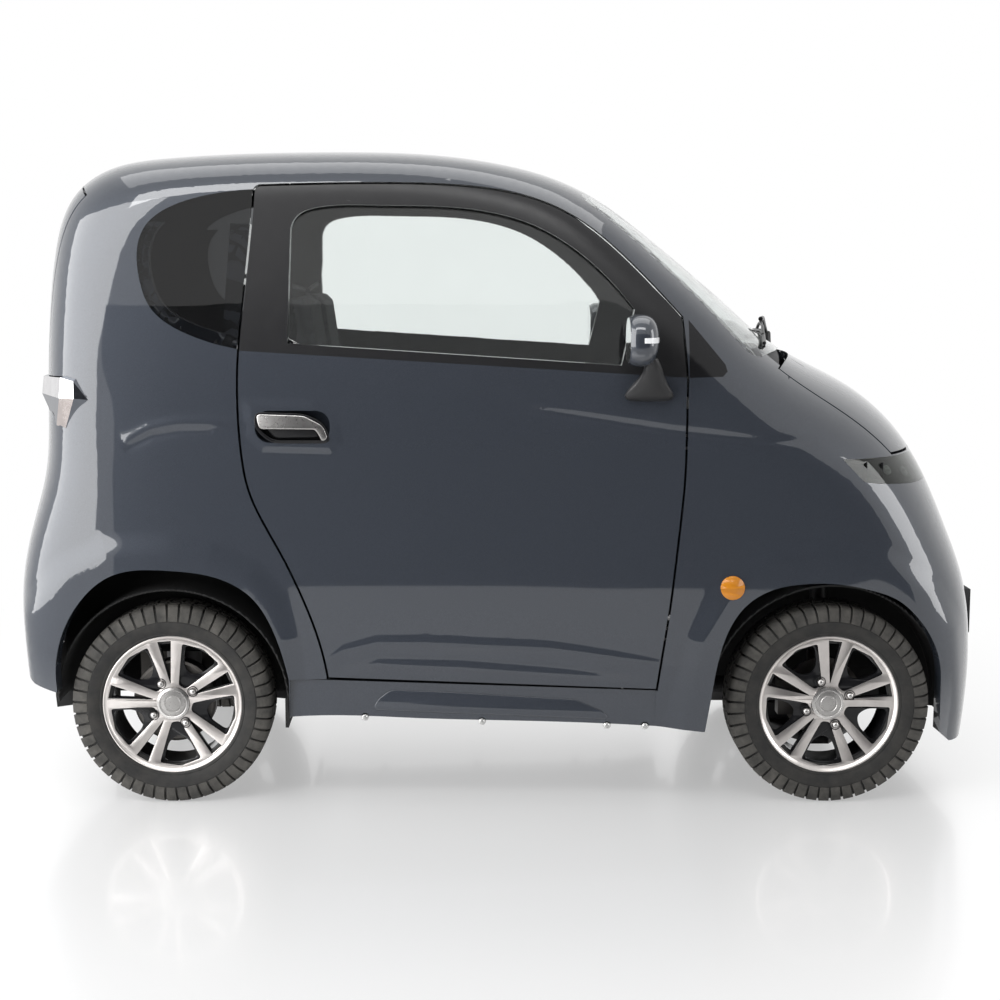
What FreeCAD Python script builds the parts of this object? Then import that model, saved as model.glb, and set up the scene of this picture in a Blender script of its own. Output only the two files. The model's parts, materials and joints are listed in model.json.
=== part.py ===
# Two-seat electric microcar: body panels cut from one smooth skin, hinged doors,
# bonnet and tailgate, steered front wheels and a driven rear axle.
# Millimetres. +X is forward, +Y is left, +Z is up; the floor is z = 0.
import FreeCAD, Part
import math
import os

# Directions
X_AXIS = FreeCAD.Vector(1, 0, 0)
Y_AXIS = FreeCAD.Vector(0, 1, 0)
Z_AXIS = FreeCAD.Vector(0, 0, 1)
ORIGIN = FreeCAD.Vector(0, 0, 0)
SIDES = (("left", 1), ("right", -1))
QUARTER_TURN = math.pi / 2
HALF = 0.5

# Fits shared by all pieces
SHUT_GAP = 5.5
SEAT_GAP = 0.3
OVERRUN = 20.0

# Whole car
BODY_LENGTH = 2440.0
BODY_HEIGHT = 1607.0
BODY_HALF_WIDTH = 583.0
WHEELBASE = 1616.0
FRONT_AXLE_X = WHEELBASE * HALF
REAR_AXLE_X = -FRONT_AXLE_X

# Wheels
TYRE_RADIUS = 248.0
TYRE_WIDTH = 135.0
HUB_Z = TYRE_RADIUS
WHEEL_Y = 480.0
BEAD_RADIUS = 152.4
FLANGE_RADIUS = 170.0
RIM_WIDTH = 118.0
RIM_FLANGE_WIDTH = 8.0
RIM_WALL = 6.0
SPOKE_COUNT = 5
SPOKE_SPLIT_DEG = 17.0
SPOKE_WIDTH_INNER = 22.0
SPOKE_WIDTH_OUTER = 15.0
SPOKE_THICKNESS = 20.0
SPOKE_FACE_INSET = 9.0
HUB_PAD_RADIUS = 78.0
HUB_BORE_RADIUS = 25.0
CAP_RADIUS = 31.0
CAP_HEIGHT = 8.0
LUG_COUNT = 4
LUG_CIRCLE_RADIUS = 57.15
LUG_RADIUS = 9.5
LUG_HEIGHT = 12.0
DISC_RADIUS = 98.0
DISC_THICKNESS = 9.0
DISC_INSET = 42.0
DRUM_RADIUS = 102.0
DRUM_DEPTH = 44.0

# Steering and axles
STUB_RADIUS = 24.7
UPRIGHT_WIDTH = 52.0
UPRIGHT_THICKNESS = 26.0
CALIPER_LENGTH = 88.0
CALIPER_WIDTH = 33.0
STRUT_RADIUS = 21.0
STRUT_TOP_Z = 600.0
SPRING_RADIUS = 44.0
ARM_THICKNESS = 22.0
ARM_TOP_Z = 143.0
ARM_WIDTH = 46.0
AXLE_TUBE_RADIUS = 34.0
STEER_WHEEL_RADIUS = 172.0
STEER_RIM_RADIUS = 13.0
STEER_WHEEL_X = 150.0
STEER_WHEEL_Z = 872.0
COLUMN_LENGTH = 340.0
COLUMN_RADIUS = 32.0
COLUMN_RAKE_DEG = 28.0

# Lid hinges, one pattern for doors, bonnet and tailgate
HINGE_SETBACK = 30.0
HINGE_DEPTH = 10.0
HINGE_BARREL_RADIUS = 6.0
HINGE_PIN_RADIUS = 3.0
HINGE_BARREL_LENGTH = 24.0
HINGE_ARM_THICKNESS = 6.0
HINGE_ARM_DROP = 36.0
HINGE_POCKET_BACK = 16.0
HINGE_POCKET_LENGTH = 54.0
DOOR_HINGE_LOW_Z = 430.0
DOOR_HINGE_HIGH_Z = 900.0
BONNET_REAR_X = BODY_LENGTH * 0.31311
BONNET_REAR_BOW = 78.0
BONNET_SWING = 30.0
BONNET_FOOT_Z = BODY_HEIGHT * 0.5364
BONNET_HALF_WIDTH = 440.0
BONNET_HINGE_Y = 250.0
TAILGATE_HALF_WIDTH = 420.0
TAILGATE_HINGE_Y = 240.0

# Cabin and chassis
CROWN_WALL = 26.0
SIDE_WALL = 40.0
GLASS_THICKNESS = 6.0
GLASS_LEDGE = 24.0
FLOOR_Z = 262.0
FLOOR_SHEET = 14.0
FIREWALL_X = BODY_LENGTH * 0.2
FIREWALL_TOP_Z = BODY_HEIGHT * 0.59739
BULKHEAD_X = BODY_LENGTH * -0.20574
TRUNK_FLOOR_Z = BODY_HEIGHT * 0.37586
TRUNK_REAR_X = BODY_LENGTH * -0.4582
RAIL_Y = 240.0
RAIL_WIDTH = 50.0
RAIL_HEIGHT = 70.0
RAIL_FRONT_X = BODY_LENGTH * 0.47131
RAIL_REAR_X = BODY_LENGTH * -0.47131
FRONT_LINER_RADIUS = 294.0
REAR_LINER_RADIUS = 284.0
LINER_SHEET = 5.0
FRONT_LINER_INNER_Y = 281.0
REAR_LINER_INNER_Y = 392.0
SILL_INNER_Y = 500.0
SILL_OUTER_Y = 574.0
SILL_SHELF_Z = 322.0
SEAT_WIDTH = 440.0
SEAT_Y = 238.0
SEAT_CUSHION_TOP_Z = 640.0
SEAT_CUSHION_DEPTH = 130.0
SEAT_FRONT_X = 30.0
SEAT_BACK_X = -400.0
SEAT_BACK_TOP_Z = 1286.0
SEAT_BACK_LEAN = 96.0
SEAT_BACK_THICKNESS = 88.0

COWL_RECESS = 10.0
COWL_LENGTH = 180.0
COWL_HALF_WIDTH = 420.0
LAMP_PROUD = 14.0
PLATE_PROUD = 6.0
PLATE_FACE_X = BODY_LENGTH * HALF + PLATE_PROUD
PLATE_HALF_WIDTH = 262.0
PLATE_FOOT_Z = BODY_HEIGHT * 0.23149
PLATE_HEIGHT = 114.0
PLATE_SCREW_SPACING = 290.0
PLATE_SCREW_RADIUS = 3.0
PLATE_SCREW_DEPTH = 24.0
HEADLAMP_INNER_Y = 300.0
TAIL_LAMP_INNER_Y = 430.0
INDICATOR_RADIUS = 29.0
INDICATOR_HEIGHT = 9.0
REAR_GLASS_HALF_WIDTH = 372.0
REAR_GLASS_FOOT_Z = BODY_HEIGHT * 0.6285
REAR_GLASS_TOP_Z = BODY_HEIGHT * 0.89608
REAR_GLASS_CORNER = 90.0
WINDSCREEN_TOP_HALF = 420.0
WINDSCREEN_FOOT_HALF = 492.0
WINDSCREEN_CORNER = 60.0
WINDSCREEN_BOW = 84.0
PANE_INSET = 12.0
HANDLE_DEPTH = 26.0
HANDLE_PROUD = 5.0
HANDLE_CORNER = 34.0
HANDLE_RIM = 9.0
MIRROR_Y = 652.0
MIRROR_HALF_DEPTH = 46.0
MIRROR_HALF_WIDTH = 76.0
MIRROR_HALF_HEIGHT = 63.0
MIRROR_GLASS_BACK = 28.0
MIRROR_CORNER = 44.0
MIRROR_NOSE_ROUND = 40.0
MIRROR_NECK_RADIUS = 17.0
RAIL_KICK_Z = 420.0
RAIL_KICK_RUN = 150.0
APRON_TOP_Z = 640.0
TOWER_HALF = 80.0
BATTERY_HALF_WIDTH = 420.0
DASH_FOOT_Z = BODY_HEIGHT * 0.48538
DASH_TOP_Z = FIREWALL_TOP_Z
DASH_FRONT_X = BODY_LENGTH * 0.12705
DASH_LIP = 50.0
DASH_HALF_WIDTH = 518.0
PEDAL_SPACING = 130.0
PEDAL_TOP_Z = 560.0
PEDAL_X = 400.0
PEDAL_FOOT_Z = 400.0
PEDAL_ARM_RADIUS = 7.0
PEDAL_WIDTH = 60.0
STEER_HUB_DROP = 60.0
STEER_HUB_RADIUS = 40.0
TYRE_SHOULDER_SHARE = 0.90
TYRE_CROWN_SHARE = 0.72
TYRE_SHOULDER_RADIUS_SHARE = 0.968
TYRE_SIDES = 60
KINGPIN_FOOT_Y = 412.0
KINGPIN_TOP_Y = 352.0
KINGPIN_FOOT_Z = 165.0
UPRIGHT_TOP_Z = 350.0
UPRIGHT_FOOT_Z = 186.0
BALL_STUD_RADIUS = 9.0
STUB_REACH = 22.0
PAD_GAP = 1.5
CALIPER_RISE = 14.0
CALIPER_WALL = 14.0
ARM_SPREAD = 260.0
DRUM_BACK_INSET = 26.0
MOTOR_LENGTH = 300.0
MOTOR_HALF_WIDTH = 180.0
REAR_SPRING_Y = 330.0
HINGE_REACH = 68.0

# Skin rows: crown point x, z; shoulder point x, z; roundness of the corner between.
# The x values are shares of the body's length, the z values of its height.
SKIN_LOW_Z = 120.0
SKIN_ROW_SHARES = (
    (-0.4877, 0.0747, -0.4139, 0.0747, 4.5),
    (-0.4967, 0.2278, -0.4221, 0.2278, 4.5),
    (-0.4996, 0.3111, -0.4262, 0.3111, 4.5),
    (-0.4947, 0.3927, -0.4201, 0.3983, 4),
    (-0.4766, 0.4729, -0.4098, 0.4729, 3),
    (-0.4709, 0.56, -0.4037, 0.56, 3),
    (-0.4709, 0.6845, -0.3996, 0.6783, 3),
    (-0.4672, 0.8065, -0.3934, 0.7716, 3),
    (-0.4607, 0.8836, -0.3832, 0.8339, 3.2),
    (-0.4492, 0.9384, -0.3668, 0.8712, 3.4),
    (-0.4246, 0.9708, -0.3443, 0.8899, 3.8),
    (-0.3689, 0.9882, -0.3033, 0.9023, 4.2),
    (-0.2787, 0.9969, -0.2459, 0.9098, 4.4),
    (-0.1762, 1, -0.1762, 0.9135, 4.4),
    (-0.0615, 0.9956, -0.0697, 0.9085, 4.4),
    (0.0164, 0.9782, 0.0041, 0.8867, 4.2),
    (0.084, 0.9459, 0.0492, 0.8525, 3.8),
    (0.1574, 0.8668, 0.0963, 0.7872, 3.2),
    (0.2463, 0.7554, 0.1639, 0.6907, 2.8),
    (0.3115, 0.677, 0.2213, 0.5912, 2.4),
    (0.3582, 0.6509, 0.2664, 0.5414, 2.2),
    (0.4033, 0.6067, 0.3115, 0.4978, 2.2),
    (0.4402, 0.5488, 0.3463, 0.4543, 2.3),
    (0.4598, 0.4885, 0.3689, 0.4169, 2.4),
    (0.4779, 0.4119, 0.3832, 0.3734, 2.7),
    (0.4959, 0.3404, 0.3934, 0.3174, 3.2),
    (0.5, 0.2688, 0.3996, 0.2676, 3.8),
    (0.4992, 0.1867, 0.4037, 0.1867, 4.2),
    (0.4902, 0.0747, 0.4037, 0.0747, 4.2),
)
SKIN_DEGREE = 3
HOOP_COUNT = 34
HOOP_CORNER_STEPS = 9
HOOP_SIDE_STEPS = 8
HOOP_FOOT_REAR_X = BODY_LENGTH * -0.39344
HOOP_FOOT_FRONT_X = BODY_LENGTH * 0.39344
BELT_Z = BODY_HEIGHT * 0.60983
TUMBLEHOME_RISE = 480.0
TUMBLEHOME_TAKE = 76.0
TUMBLEHOME_POWER = 1.6
TUCK_Z = 400.0
TUCK_RISE = 280.0
TUCK_TAKE = 16.0
NOSE_START_X = BODY_LENGTH * 0.28689
NOSE_RUN = 400.0
NOSE_TAKE = 46.0
TAIL_START_X = BODY_LENGTH * -0.31148
TAIL_RUN = 400.0
TAIL_TAKE = 34.0
SKIN_REACH = 720.0

# Side outlines (x, z)
DOOR_FRONT_EDGE_SHARES = ((0.1807, 0.6528), (0.1803, 0.5831), (0.1791, 0.5034), (0.1734, 0.407),
    (0.1664, 0.3093), (0.1619, 0.262), (0.1545, 0.1848))
DOOR_FOOT_SHARES = ((0.1545, 0.1848), (-0.1717, 0.2029))
DOOR_REAR_EDGE_SHARES = ((-0.1717, 0.2029), (-0.1836, 0.2757), (-0.1988, 0.3348), (-0.2172, 0.3933),
    (-0.2361, 0.4462), (-0.248, 0.4891), (-0.2549, 0.5476), (-0.2574, 0.6024), (-0.2566, 0.6963),
    (-0.2508, 0.7841), (-0.2455, 0.8656), (-0.2426, 0.9272))
DOOR_CORNER_SHARES = ((-0.2426, 0.9272), (-0.241, 0.9353), (-0.2352, 0.9384))
DOOR_TOP_EDGE_SHARES = ((-0.2352, 0.9384), (-0.1844, 0.9403), (-0.1217, 0.9415), (-0.0594, 0.9396),
    (-0.0127, 0.9334), (0.0344, 0.9172), (0.0787, 0.8843), (0.1135, 0.8419), (0.1451, 0.7946),
    (0.1758, 0.7442))
DOOR_FRONT_RISE_SHARES = ((0.1758, 0.7442), (0.1807, 0.6528))
WINDOW_FOOT_SHARES = ((-0.2098, 0.7063), (0.1172, 0.6739))
WINDOW_FRONT_SHARES = ((0.1172, 0.6739), (0.1299, 0.7561))
WINDOW_TOP_SHARES = ((0.1299, 0.7561), (0.1041, 0.8027), (0.0721, 0.8451), (0.0348, 0.8787),
    (-0.0123, 0.9004), (-0.0598, 0.9085), (-0.1217, 0.9104), (-0.1783, 0.9079), (-0.1984, 0.8979),
    (-0.2074, 0.8656))
WINDOW_REAR_SHARES = ((-0.2074, 0.8656), (-0.2098, 0.7063))
QUARTER_GLASS_CURVE_SHARES = ((-0.233, 0.9345), (-0.2734, 0.9297), (-0.3049, 0.9197),
    (-0.3299, 0.9048), (-0.3455, 0.8874), (-0.3549, 0.8637), (-0.3574, 0.8276), (-0.3537, 0.7946),
    (-0.3447, 0.761), (-0.3262, 0.7349), (-0.3008, 0.7162), (-0.2787, 0.705), (-0.245, 0.6955))
QUARTER_HOLE_CURVE_SHARES = ((-0.2648, 0.9172), (-0.2869, 0.9123), (-0.3115, 0.9011),
    (-0.3311, 0.8861), (-0.3418, 0.865), (-0.3459, 0.8276), (-0.3426, 0.7978), (-0.3344, 0.7691),
    (-0.318, 0.7467), (-0.2951, 0.7306), (-0.273, 0.7206))
TRIANGLE_TRIM_SHARES = ((0.1832, 0.7411), (0.2193, 0.6752), (0.2213, 0.6646), (0.2164, 0.6571),
    (0.1832, 0.6559))
SILL_TOP_SHARES = ((-0.2107, 0.1998), (0.1545, 0.1817))
SILL_FOOT_SHARES = ((0.1545, 0.1263), (0.0258, 0.1344), (-0.0861, 0.1388), (-0.1607, 0.1431),
    (-0.2107, 0.1406))
REAR_ARCH_SHARES = ((1.185, -0.274), (1.177, 0.290), (1.149, 0.419), (1.044, 0.754), (0.810, 1.129),
    (0.472, 1.315), (0.036, 1.379), (-0.532, 1.327), (-0.899, 1.004), (-1.056, 0.690), (-1.109, 0.194),
    (-1.117, -0.274))
FRONT_ARCH_SHARES = ((-1.274, -0.395), (-1.210, 0.012), (-1.145, 0.427), (-1.056, 0.742),
    (-0.875, 1.028), (-0.637, 1.181), (-0.315, 1.246), (0.020, 1.242), (0.351, 1.177), (0.613, 1.077),
    (0.835, 0.883), (1.008, 0.621), (1.093, 0.234), (1.105, -0.395))
HEADLAMP_SHARES = ((0.3373, 0.5327), (0.418, 0.5308), (0.4836, 0.5215), (0.4836, 0.4866),
    (0.418, 0.4897), (0.3742, 0.4947), (0.3594, 0.4984))
TAIL_LAMP_SHARES = ((-0.4754, 0.6509), (-0.4537, 0.6553), (-0.4299, 0.6571), (-0.4066, 0.6279),
    (-0.4344, 0.5818), (-0.4484, 0.6011), (-0.4754, 0.6049))
DOOR_BELT_SHARES = ((-0.262, 0.6963), (0.184, 0.6559))
INDICATOR_SHARES = ((0.2287, 0.341),)
HANDLE_SHARES = ((-0.2418, 0.6073), (-0.1684, 0.5594))
MIRROR_SHARES = ((0.131, 0.7131), (0.1426, 0.6298))
WINDSCREEN_LINE_SHARES = ((0.0900, 0.9430), (0.3000, 0.6840))

# Regions of the side view that split the shell into panels, in the same shares
ROOF_REGION_SHARES = ((-0.53, 0.888), (-0.36, 0.8865), (0.065, 0.8700), (0.1230, 1.01), (0.1230, 1.05),
    (-0.53, 1.05))
FRAME_REGION_SHARES = ((0.065, 0.8700), (0.07, 0.6534), (0.2217, 0.6534), (0.2889, 0.6490), (0.33, 1.01),
    (0.1230, 1.01))
QUARTER_REGION_SHARES = ((-0.53, 0.888), (-0.53, 0.1979), (-0.4672, 0.1867), (-0.4439, 0.1767),
    (-0.2107, 0.1406), (-0.2107, 0.1998), (-0.1741, 0.1998), (-0.1741, 0.8795), (-0.36, 0.8865))
FENDER_REGION_SHARES = ((0.1545, 0.1263), (0.2016, 0.1182), (0.3672, 0.1160), (0.3672, 0.7600),
    (0.2889, 0.6490), (0.2217, 0.6534), (0.1568, 0.6534), (0.1568, 0.1817), (0.1545, 0.1817))
BUMPER_REGION_SHARES = ((0.3672, 0.1160), (0.4402, 0.1145), (0.4549, 0.0933), (0.5300, 0.0797),
    (0.5300, 0.7600), (0.3672, 0.7600))
VALANCE_REGION_SHARES = ((-0.53, 0.1979), (-0.4672, 0.1867), (-0.4100, 0.1867), (-0.4100, 0.3600),
    (-0.53, 0.3600))
TAILGATE_CUT_SHARES = ((-0.3934, 0.8923), (-0.4779, 1.0205), (-0.5400, 1.0205), (-0.5400, 0.3485),
    (-0.4000, 0.3485))


# Plain shapes
def vec(x, y, z):
    return FreeCAD.Vector(x, y, z)


def box(x_low, x_high, y_low, y_high, z_low, z_high):
    return Part.makeBox(x_high - x_low, y_high - y_low, z_high - z_low, vec(x_low, y_low, z_low))


def rod(radius, start, end):
    along = end - start
    return Part.makeCylinder(radius, along.Length, start, along)


def fused(shapes):
    first, rest = shapes[0], shapes[1:]
    return first.multiFuse(rest).removeSplitter() if rest else first


def mirrored(shape):
    return shape.mirror(ORIGIN, Y_AXIS)


def on_side(shape, side):
    return shape if side > 0 else mirrored(shape)


def both_sides(shape):
    return Part.makeCompound([shape, mirrored(shape)])


def run_edge(points):
    if len(points) > 2:
        curve = Part.BSplineCurve()
        curve.interpolate(points)
        return curve.toShape()
    return Part.makeLine(points[0], points[-1])


def side_face(runs):
    edges = [run_edge([vec(x, 0, z) for x, z in run]) for run in runs]
    return Part.Face(Part.Wire(edges))


def side_prism(runs, y_low=0, y_high=SKIN_REACH):
    """Side outline runs, swept across the car from y_low to y_high."""
    face = side_face(runs)
    face.translate(vec(0, y_low, 0))
    prism = face.extrude(vec(0, y_high - y_low, 0))
    return prism.toNurbs() if any(len(run) > 2 for run in runs) else prism


def grown_prism(runs, growth, y_low=0, y_high=SKIN_REACH):
    face = side_face(runs).makeOffset2D(growth)
    face.translate(vec(0, y_low, 0))
    return face.extrude(vec(0, y_high - y_low, 0)).toNurbs()


def closed(points):
    return [points[i:i + 2] for i in range(len(points) - 1)] + [(points[-1], points[0])]


# The skin
def natural_spline(values, marks):
    """Curve through the values at the marks, free at both ends."""
    count = len(values)
    steps = [marks[i + 1] - marks[i] for i in range(count - 1)]
    diag = [1.0] * count
    upper = [0.0] * count
    right = [0.0] * count
    for i in range(1, count - 1):
        slope_gap = (values[i + 1] - values[i]) / steps[i] - (values[i] - values[i - 1]) / steps[i - 1]
        weight = steps[i - 1] / diag[i - 1]
        diag[i] = 2 * (steps[i - 1] + steps[i]) - weight * upper[i - 1]
        upper[i] = steps[i]
        right[i] = 6 * slope_gap - weight * right[i - 1]
    bends = [0.0] * count
    for i in range(count - 2, 0, -1):
        bends[i] = (right[i] - upper[i] * bends[i + 1]) / diag[i]

    def curve(mark):
        i = 0
        while i < count - 2 and mark > marks[i + 1]:
            i += 1
        low = (marks[i + 1] - mark) / steps[i]
        high = (mark - marks[i]) / steps[i]
        lift = (low ** 3 - low) * bends[i] + (high ** 3 - high) * bends[i + 1]
        return low * values[i] + high * values[i + 1] + lift * steps[i] ** 2 / 6
    return curve


def half_width(x, z):
    """Half the body's width at a point of its side view."""
    rise = max(0, (z - BELT_Z) / TUMBLEHOME_RISE)
    tuck = max(0, (TUCK_Z - z) / TUCK_RISE)
    nose = max(0, (x - NOSE_START_X) / NOSE_RUN)
    tail = max(0, (TAIL_START_X - x) / TAIL_RUN)
    take = TUMBLEHOME_TAKE * rise ** TUMBLEHOME_POWER + TUCK_TAKE * tuck ** 2
    return BODY_HALF_WIDTH - take - NOSE_TAKE * nose ** 2 - TAIL_TAKE * tail ** 2


def hoop_points(row, foot_x, crown_inset, side_inset, flat):
    """Half hoop from the crown line over the shoulder and down to the foot."""
    crown_x, crown_z, shoulder_x, shoulder_z, power = row
    reach = math.hypot(shoulder_x - crown_x, shoulder_z - crown_z)
    crown_x += (shoulder_x - crown_x) * crown_inset / reach
    crown_z += (shoulder_z - crown_z) * crown_inset / reach
    points = []
    for step in range(HOOP_CORNER_STEPS):
        angle = QUARTER_TURN * step / (HOOP_CORNER_STEPS - 1)
        size = (math.sin(angle) ** power + math.cos(angle) ** power) ** (1 / power)
        out, fall = math.sin(angle) / size, 1 - math.cos(angle) / size
        x = crown_x + (shoulder_x - crown_x) * fall
        z = crown_z + (shoulder_z - crown_z) * fall
        points.append((x, (half_width(x, z) - side_inset) * out, z))
    for step in range(1, HOOP_SIDE_STEPS + 1):
        part = step / HOOP_SIDE_STEPS
        x = shoulder_x + (foot_x - shoulder_x) * part
        z = shoulder_z + (SKIN_LOW_Z - shoulder_z) * part
        points.append((x, half_width(x, z) - side_inset, z))
    if flat:
        points = [(x, y, SKIN_LOW_Z) for x, y, z in points]
    return [vec(x, y, z) for x, y, z in points]


def knots(count):
    """Knots and their multiplicities of a clamped curve with that many poles."""
    inner = count - SKIN_DEGREE
    ends = [SKIN_DEGREE + 1]
    return [float(i) for i in range(inner + 1)], ends + [1] * (inner - 1) + ends


def skin_rows():
    """The skin's rows at real size, the foot of each end resting on the low plane."""
    rows = []
    for crown_x, crown_z, shoulder_x, shoulder_z, power in SKIN_ROW_SHARES:
        rows.append((crown_x * BODY_LENGTH, crown_z * BODY_HEIGHT,
                     shoulder_x * BODY_LENGTH, shoulder_z * BODY_HEIGHT, power))
    return rows


def skin(crown_inset, side_inset):
    """Solid under the whole body skin, moved inward by the two insets."""
    rows = skin_rows()
    marks = [0.0]
    for before, after in zip(rows, rows[1:]):
        marks.append(marks[-1] + math.hypot(after[0] - before[0], after[1] - before[1]))
    curves = [natural_spline([row[i] for row in rows], marks) for i in range(len(rows[0]))]
    grid = []
    for i in range(HOOP_COUNT):
        part = i / (HOOP_COUNT - 1)
        row = [curve(marks[-1] * part) for curve in curves]
        foot_x = HOOP_FOOT_REAR_X + (HOOP_FOOT_FRONT_X - HOOP_FOOT_REAR_X) * part
        half = hoop_points(row, foot_x, crown_inset, side_inset, i in (0, HOOP_COUNT - 1))
        grid.append([vec(p.x, -p.y, p.z) for p in reversed(half)] + half[1:])
    along, along_mults = knots(len(grid))
    across, across_mults = knots(len(grid[0]))
    surface = Part.BSplineSurface()
    degree = SKIN_DEGREE
    surface.buildFromPolesMultsKnots(grid, along_mults, across_mults, along, across,
                                     False, False, degree, degree)
    sheet = surface.toShape()
    foot = Part.Face(Part.Wire(Part.__sortEdges__(sheet.Edges)))
    solid = Part.Solid(Part.Shell([sheet, foot]))
    if solid.Volume < 0:
        solid.reverse()
    return solid


def cut_by(shape, tools):
    """Cut by one tool after another."""
    for tool in tools:
        shape = shape.cut(tool)
    return shape


def clad(prism, outer, inner, tools=()):
    """The part of a wall between two skins that lies in a prism, less the tools."""
    return cut_by(prism, tools).common(outer).cut(inner)


# Reading the tables
def side_points(shares):
    """Points of the side view from shares of the body's length and height."""
    return [(x * BODY_LENGTH, z * BODY_HEIGHT) for x, z in shares]


def arch_points(shares, axle_x):
    """Points round a wheel from shares of the tyre's radius."""
    return [(axle_x + x * TYRE_RADIUS, HUB_Z + z * TYRE_RADIUS) for x, z in shares]


# Side outlines as closed chains of curves and straight lines
def door_runs():
    tables = (DOOR_FRONT_EDGE_SHARES, DOOR_FOOT_SHARES, DOOR_REAR_EDGE_SHARES,
              DOOR_CORNER_SHARES, DOOR_TOP_EDGE_SHARES, DOOR_FRONT_RISE_SHARES)
    return [side_points(table) for table in tables]


def window_runs():
    tables = (WINDOW_FOOT_SHARES, WINDOW_FRONT_SHARES, WINDOW_TOP_SHARES, WINDOW_REAR_SHARES)
    return [side_points(table) for table in tables]


def curve_and_chord(shares):
    points = side_points(shares)
    return [points, [points[-1], points[0]]]


def arch_runs(shares, axle_x):
    points = arch_points(shares, axle_x)
    return [points[:2], points[1:-1], points[-2:], [points[-1], points[0]]]


def door_front_x(z):
    """Forward edge of the door at a height."""
    points = sorted((height, x) for x, height in side_points(DOOR_FRONT_EDGE_SHARES))
    for (low_z, low_x), (high_z, high_x) in zip(points, points[1:]):
        if z <= high_z:
            return low_x + (high_x - low_x) * (z - low_z) / (high_z - low_z)
    return points[-1][1]


# Hinges
def hinge_frame(place, along, outward):
    """Placement whose local z is the pin, local y points outward and local x to the fixed side."""
    along = along.normalize()
    outward = (outward - along * outward.dot(along)).normalize()
    ahead = outward.cross(along)
    matrix = FreeCAD.Matrix(ahead.x, outward.x, along.x, place.x,
                            ahead.y, outward.y, along.y, place.y,
                            ahead.z, outward.z, along.z, place.z,
                            0, 0, 0, 1)
    return FreeCAD.Placement(matrix)


def placed(shape, placement):
    copy = shape.copy()
    copy.Placement = placement.multiply(copy.Placement)
    return copy


def hinge_pocket():
    """Room that a lid gives up round its hinge."""
    half = HINGE_POCKET_LENGTH * HALF
    roof = HINGE_BARREL_RADIUS + SEAT_GAP
    return box(-HINGE_POCKET_BACK, HINGE_SETBACK + OVERRUN, -SIDE_WALL - HINGE_ARM_DROP, roof, -half, half)


def hinge_leaf():
    """Barrel and leaf that a lid carries, seated on the back of its pocket."""
    half = HINGE_BARREL_LENGTH * HALF
    barrel = rod(HINGE_BARREL_RADIUS, vec(0, 0, -half), vec(0, 0, half))
    leaf = box(-HINGE_POCKET_BACK, 0, -HINGE_BARREL_RADIUS, 0, -half, half)
    bore = rod(HINGE_PIN_RADIUS + SEAT_GAP, vec(0, 0, -half - OVERRUN), vec(0, 0, half + OVERRUN))
    return barrel.fuse(leaf).cut(bore)


def hinge_bracket(reach, wall):
    """Pin and swan-necked arms bolted to the fixed wall past the shut line."""
    half = HINGE_BARREL_LENGTH * HALF
    arm_low = half + SEAT_GAP
    arm_high = arm_low + HINGE_ARM_THICKNESS
    width = HINGE_ARM_THICKNESS
    arms = [rod(HINGE_PIN_RADIUS, vec(0, 0, -arm_high), vec(0, 0, arm_high))]
    for low, high in ((arm_low, arm_high), (-arm_high, -arm_low)):
        arms.append(rod(HINGE_BARREL_RADIUS, vec(0, 0, low), vec(0, 0, high)))
        arms.append(box(-width, width, -HINGE_ARM_DROP, 0, low, high))
        arms.append(box(-width, reach, -HINGE_ARM_DROP - width, -HINGE_ARM_DROP, low, high))
    foot_start = HINGE_SETBACK + SHUT_GAP + OVERRUN
    foot_low = -HINGE_ARM_DROP - width
    arms.append(box(foot_start, reach, foot_low, -wall + HINGE_DEPTH, -arm_high, arm_high))
    return fused(arms)


def door_hinge_line():
    """Pin line of a left door: two points a setback behind the door's forward edge."""
    y = BODY_HALF_WIDTH - HINGE_DEPTH
    low = vec(door_front_x(DOOR_HINGE_LOW_Z) - HINGE_SETBACK, y, DOOR_HINGE_LOW_Z)
    high = vec(door_front_x(DOOR_HINGE_HIGH_Z) - HINGE_SETBACK, y, DOOR_HINGE_HIGH_Z)
    return low, high


def skin_spot(solid, start, direction):
    """Where a line leaves a skin, with the skin's outward normal there."""
    line = Part.makeLine(start, start + direction * BODY_LENGTH).common(solid)
    spot = max((vertex.Point for vertex in line.Vertexes), key=lambda point: (point - start).Length)
    surface = solid.Faces[0].Surface
    u, v = surface.parameter(spot)
    normal = surface.normal(u, v)
    return spot, normal if normal.dot(direction) > 0 else normal * -1


def crown_hinge_spot(solid, start, direction, along):
    """Hinge point under the crown, a setback from the edge that a cut plane makes."""
    edge, normal = skin_spot(solid, start, direction)
    ahead = normal.cross(along).normalize()
    near = edge - ahead * HINGE_SETBACK - normal * HINGE_SETBACK
    spot, normal = skin_spot(solid, near, normal)
    normal = (normal - along * normal.dot(along)).normalize()
    return spot - normal * HINGE_DEPTH, normal


class Skins:
    """The skins that every panel is cut between."""

    def __init__(self):
        self.outer = skin(0, 0)
        self.inner = skin(CROWN_WALL, SIDE_WALL)
        self.glass = skin(GLASS_THICKNESS, GLASS_THICKNESS)
        self.recess = skin(COWL_RECESS, COWL_RECESS)
        self.proud = skin(-LAMP_PROUD, -LAMP_PROUD)
        self.pane_outer = skin(PANE_INSET, PANE_INSET)
        self.pane_inner = skin(PANE_INSET + GLASS_THICKNESS, PANE_INSET + GLASS_THICKNESS)


# Regions of the body that the panels are cut from
def roof_region():
    points = side_points(ROOF_REGION_SHARES)
    return side_prism(closed(points), -SKIN_REACH, SKIN_REACH)


def frame_region():
    points = side_points(FRAME_REGION_SHARES)
    return side_prism(closed(points), -SKIN_REACH, SKIN_REACH)


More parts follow.
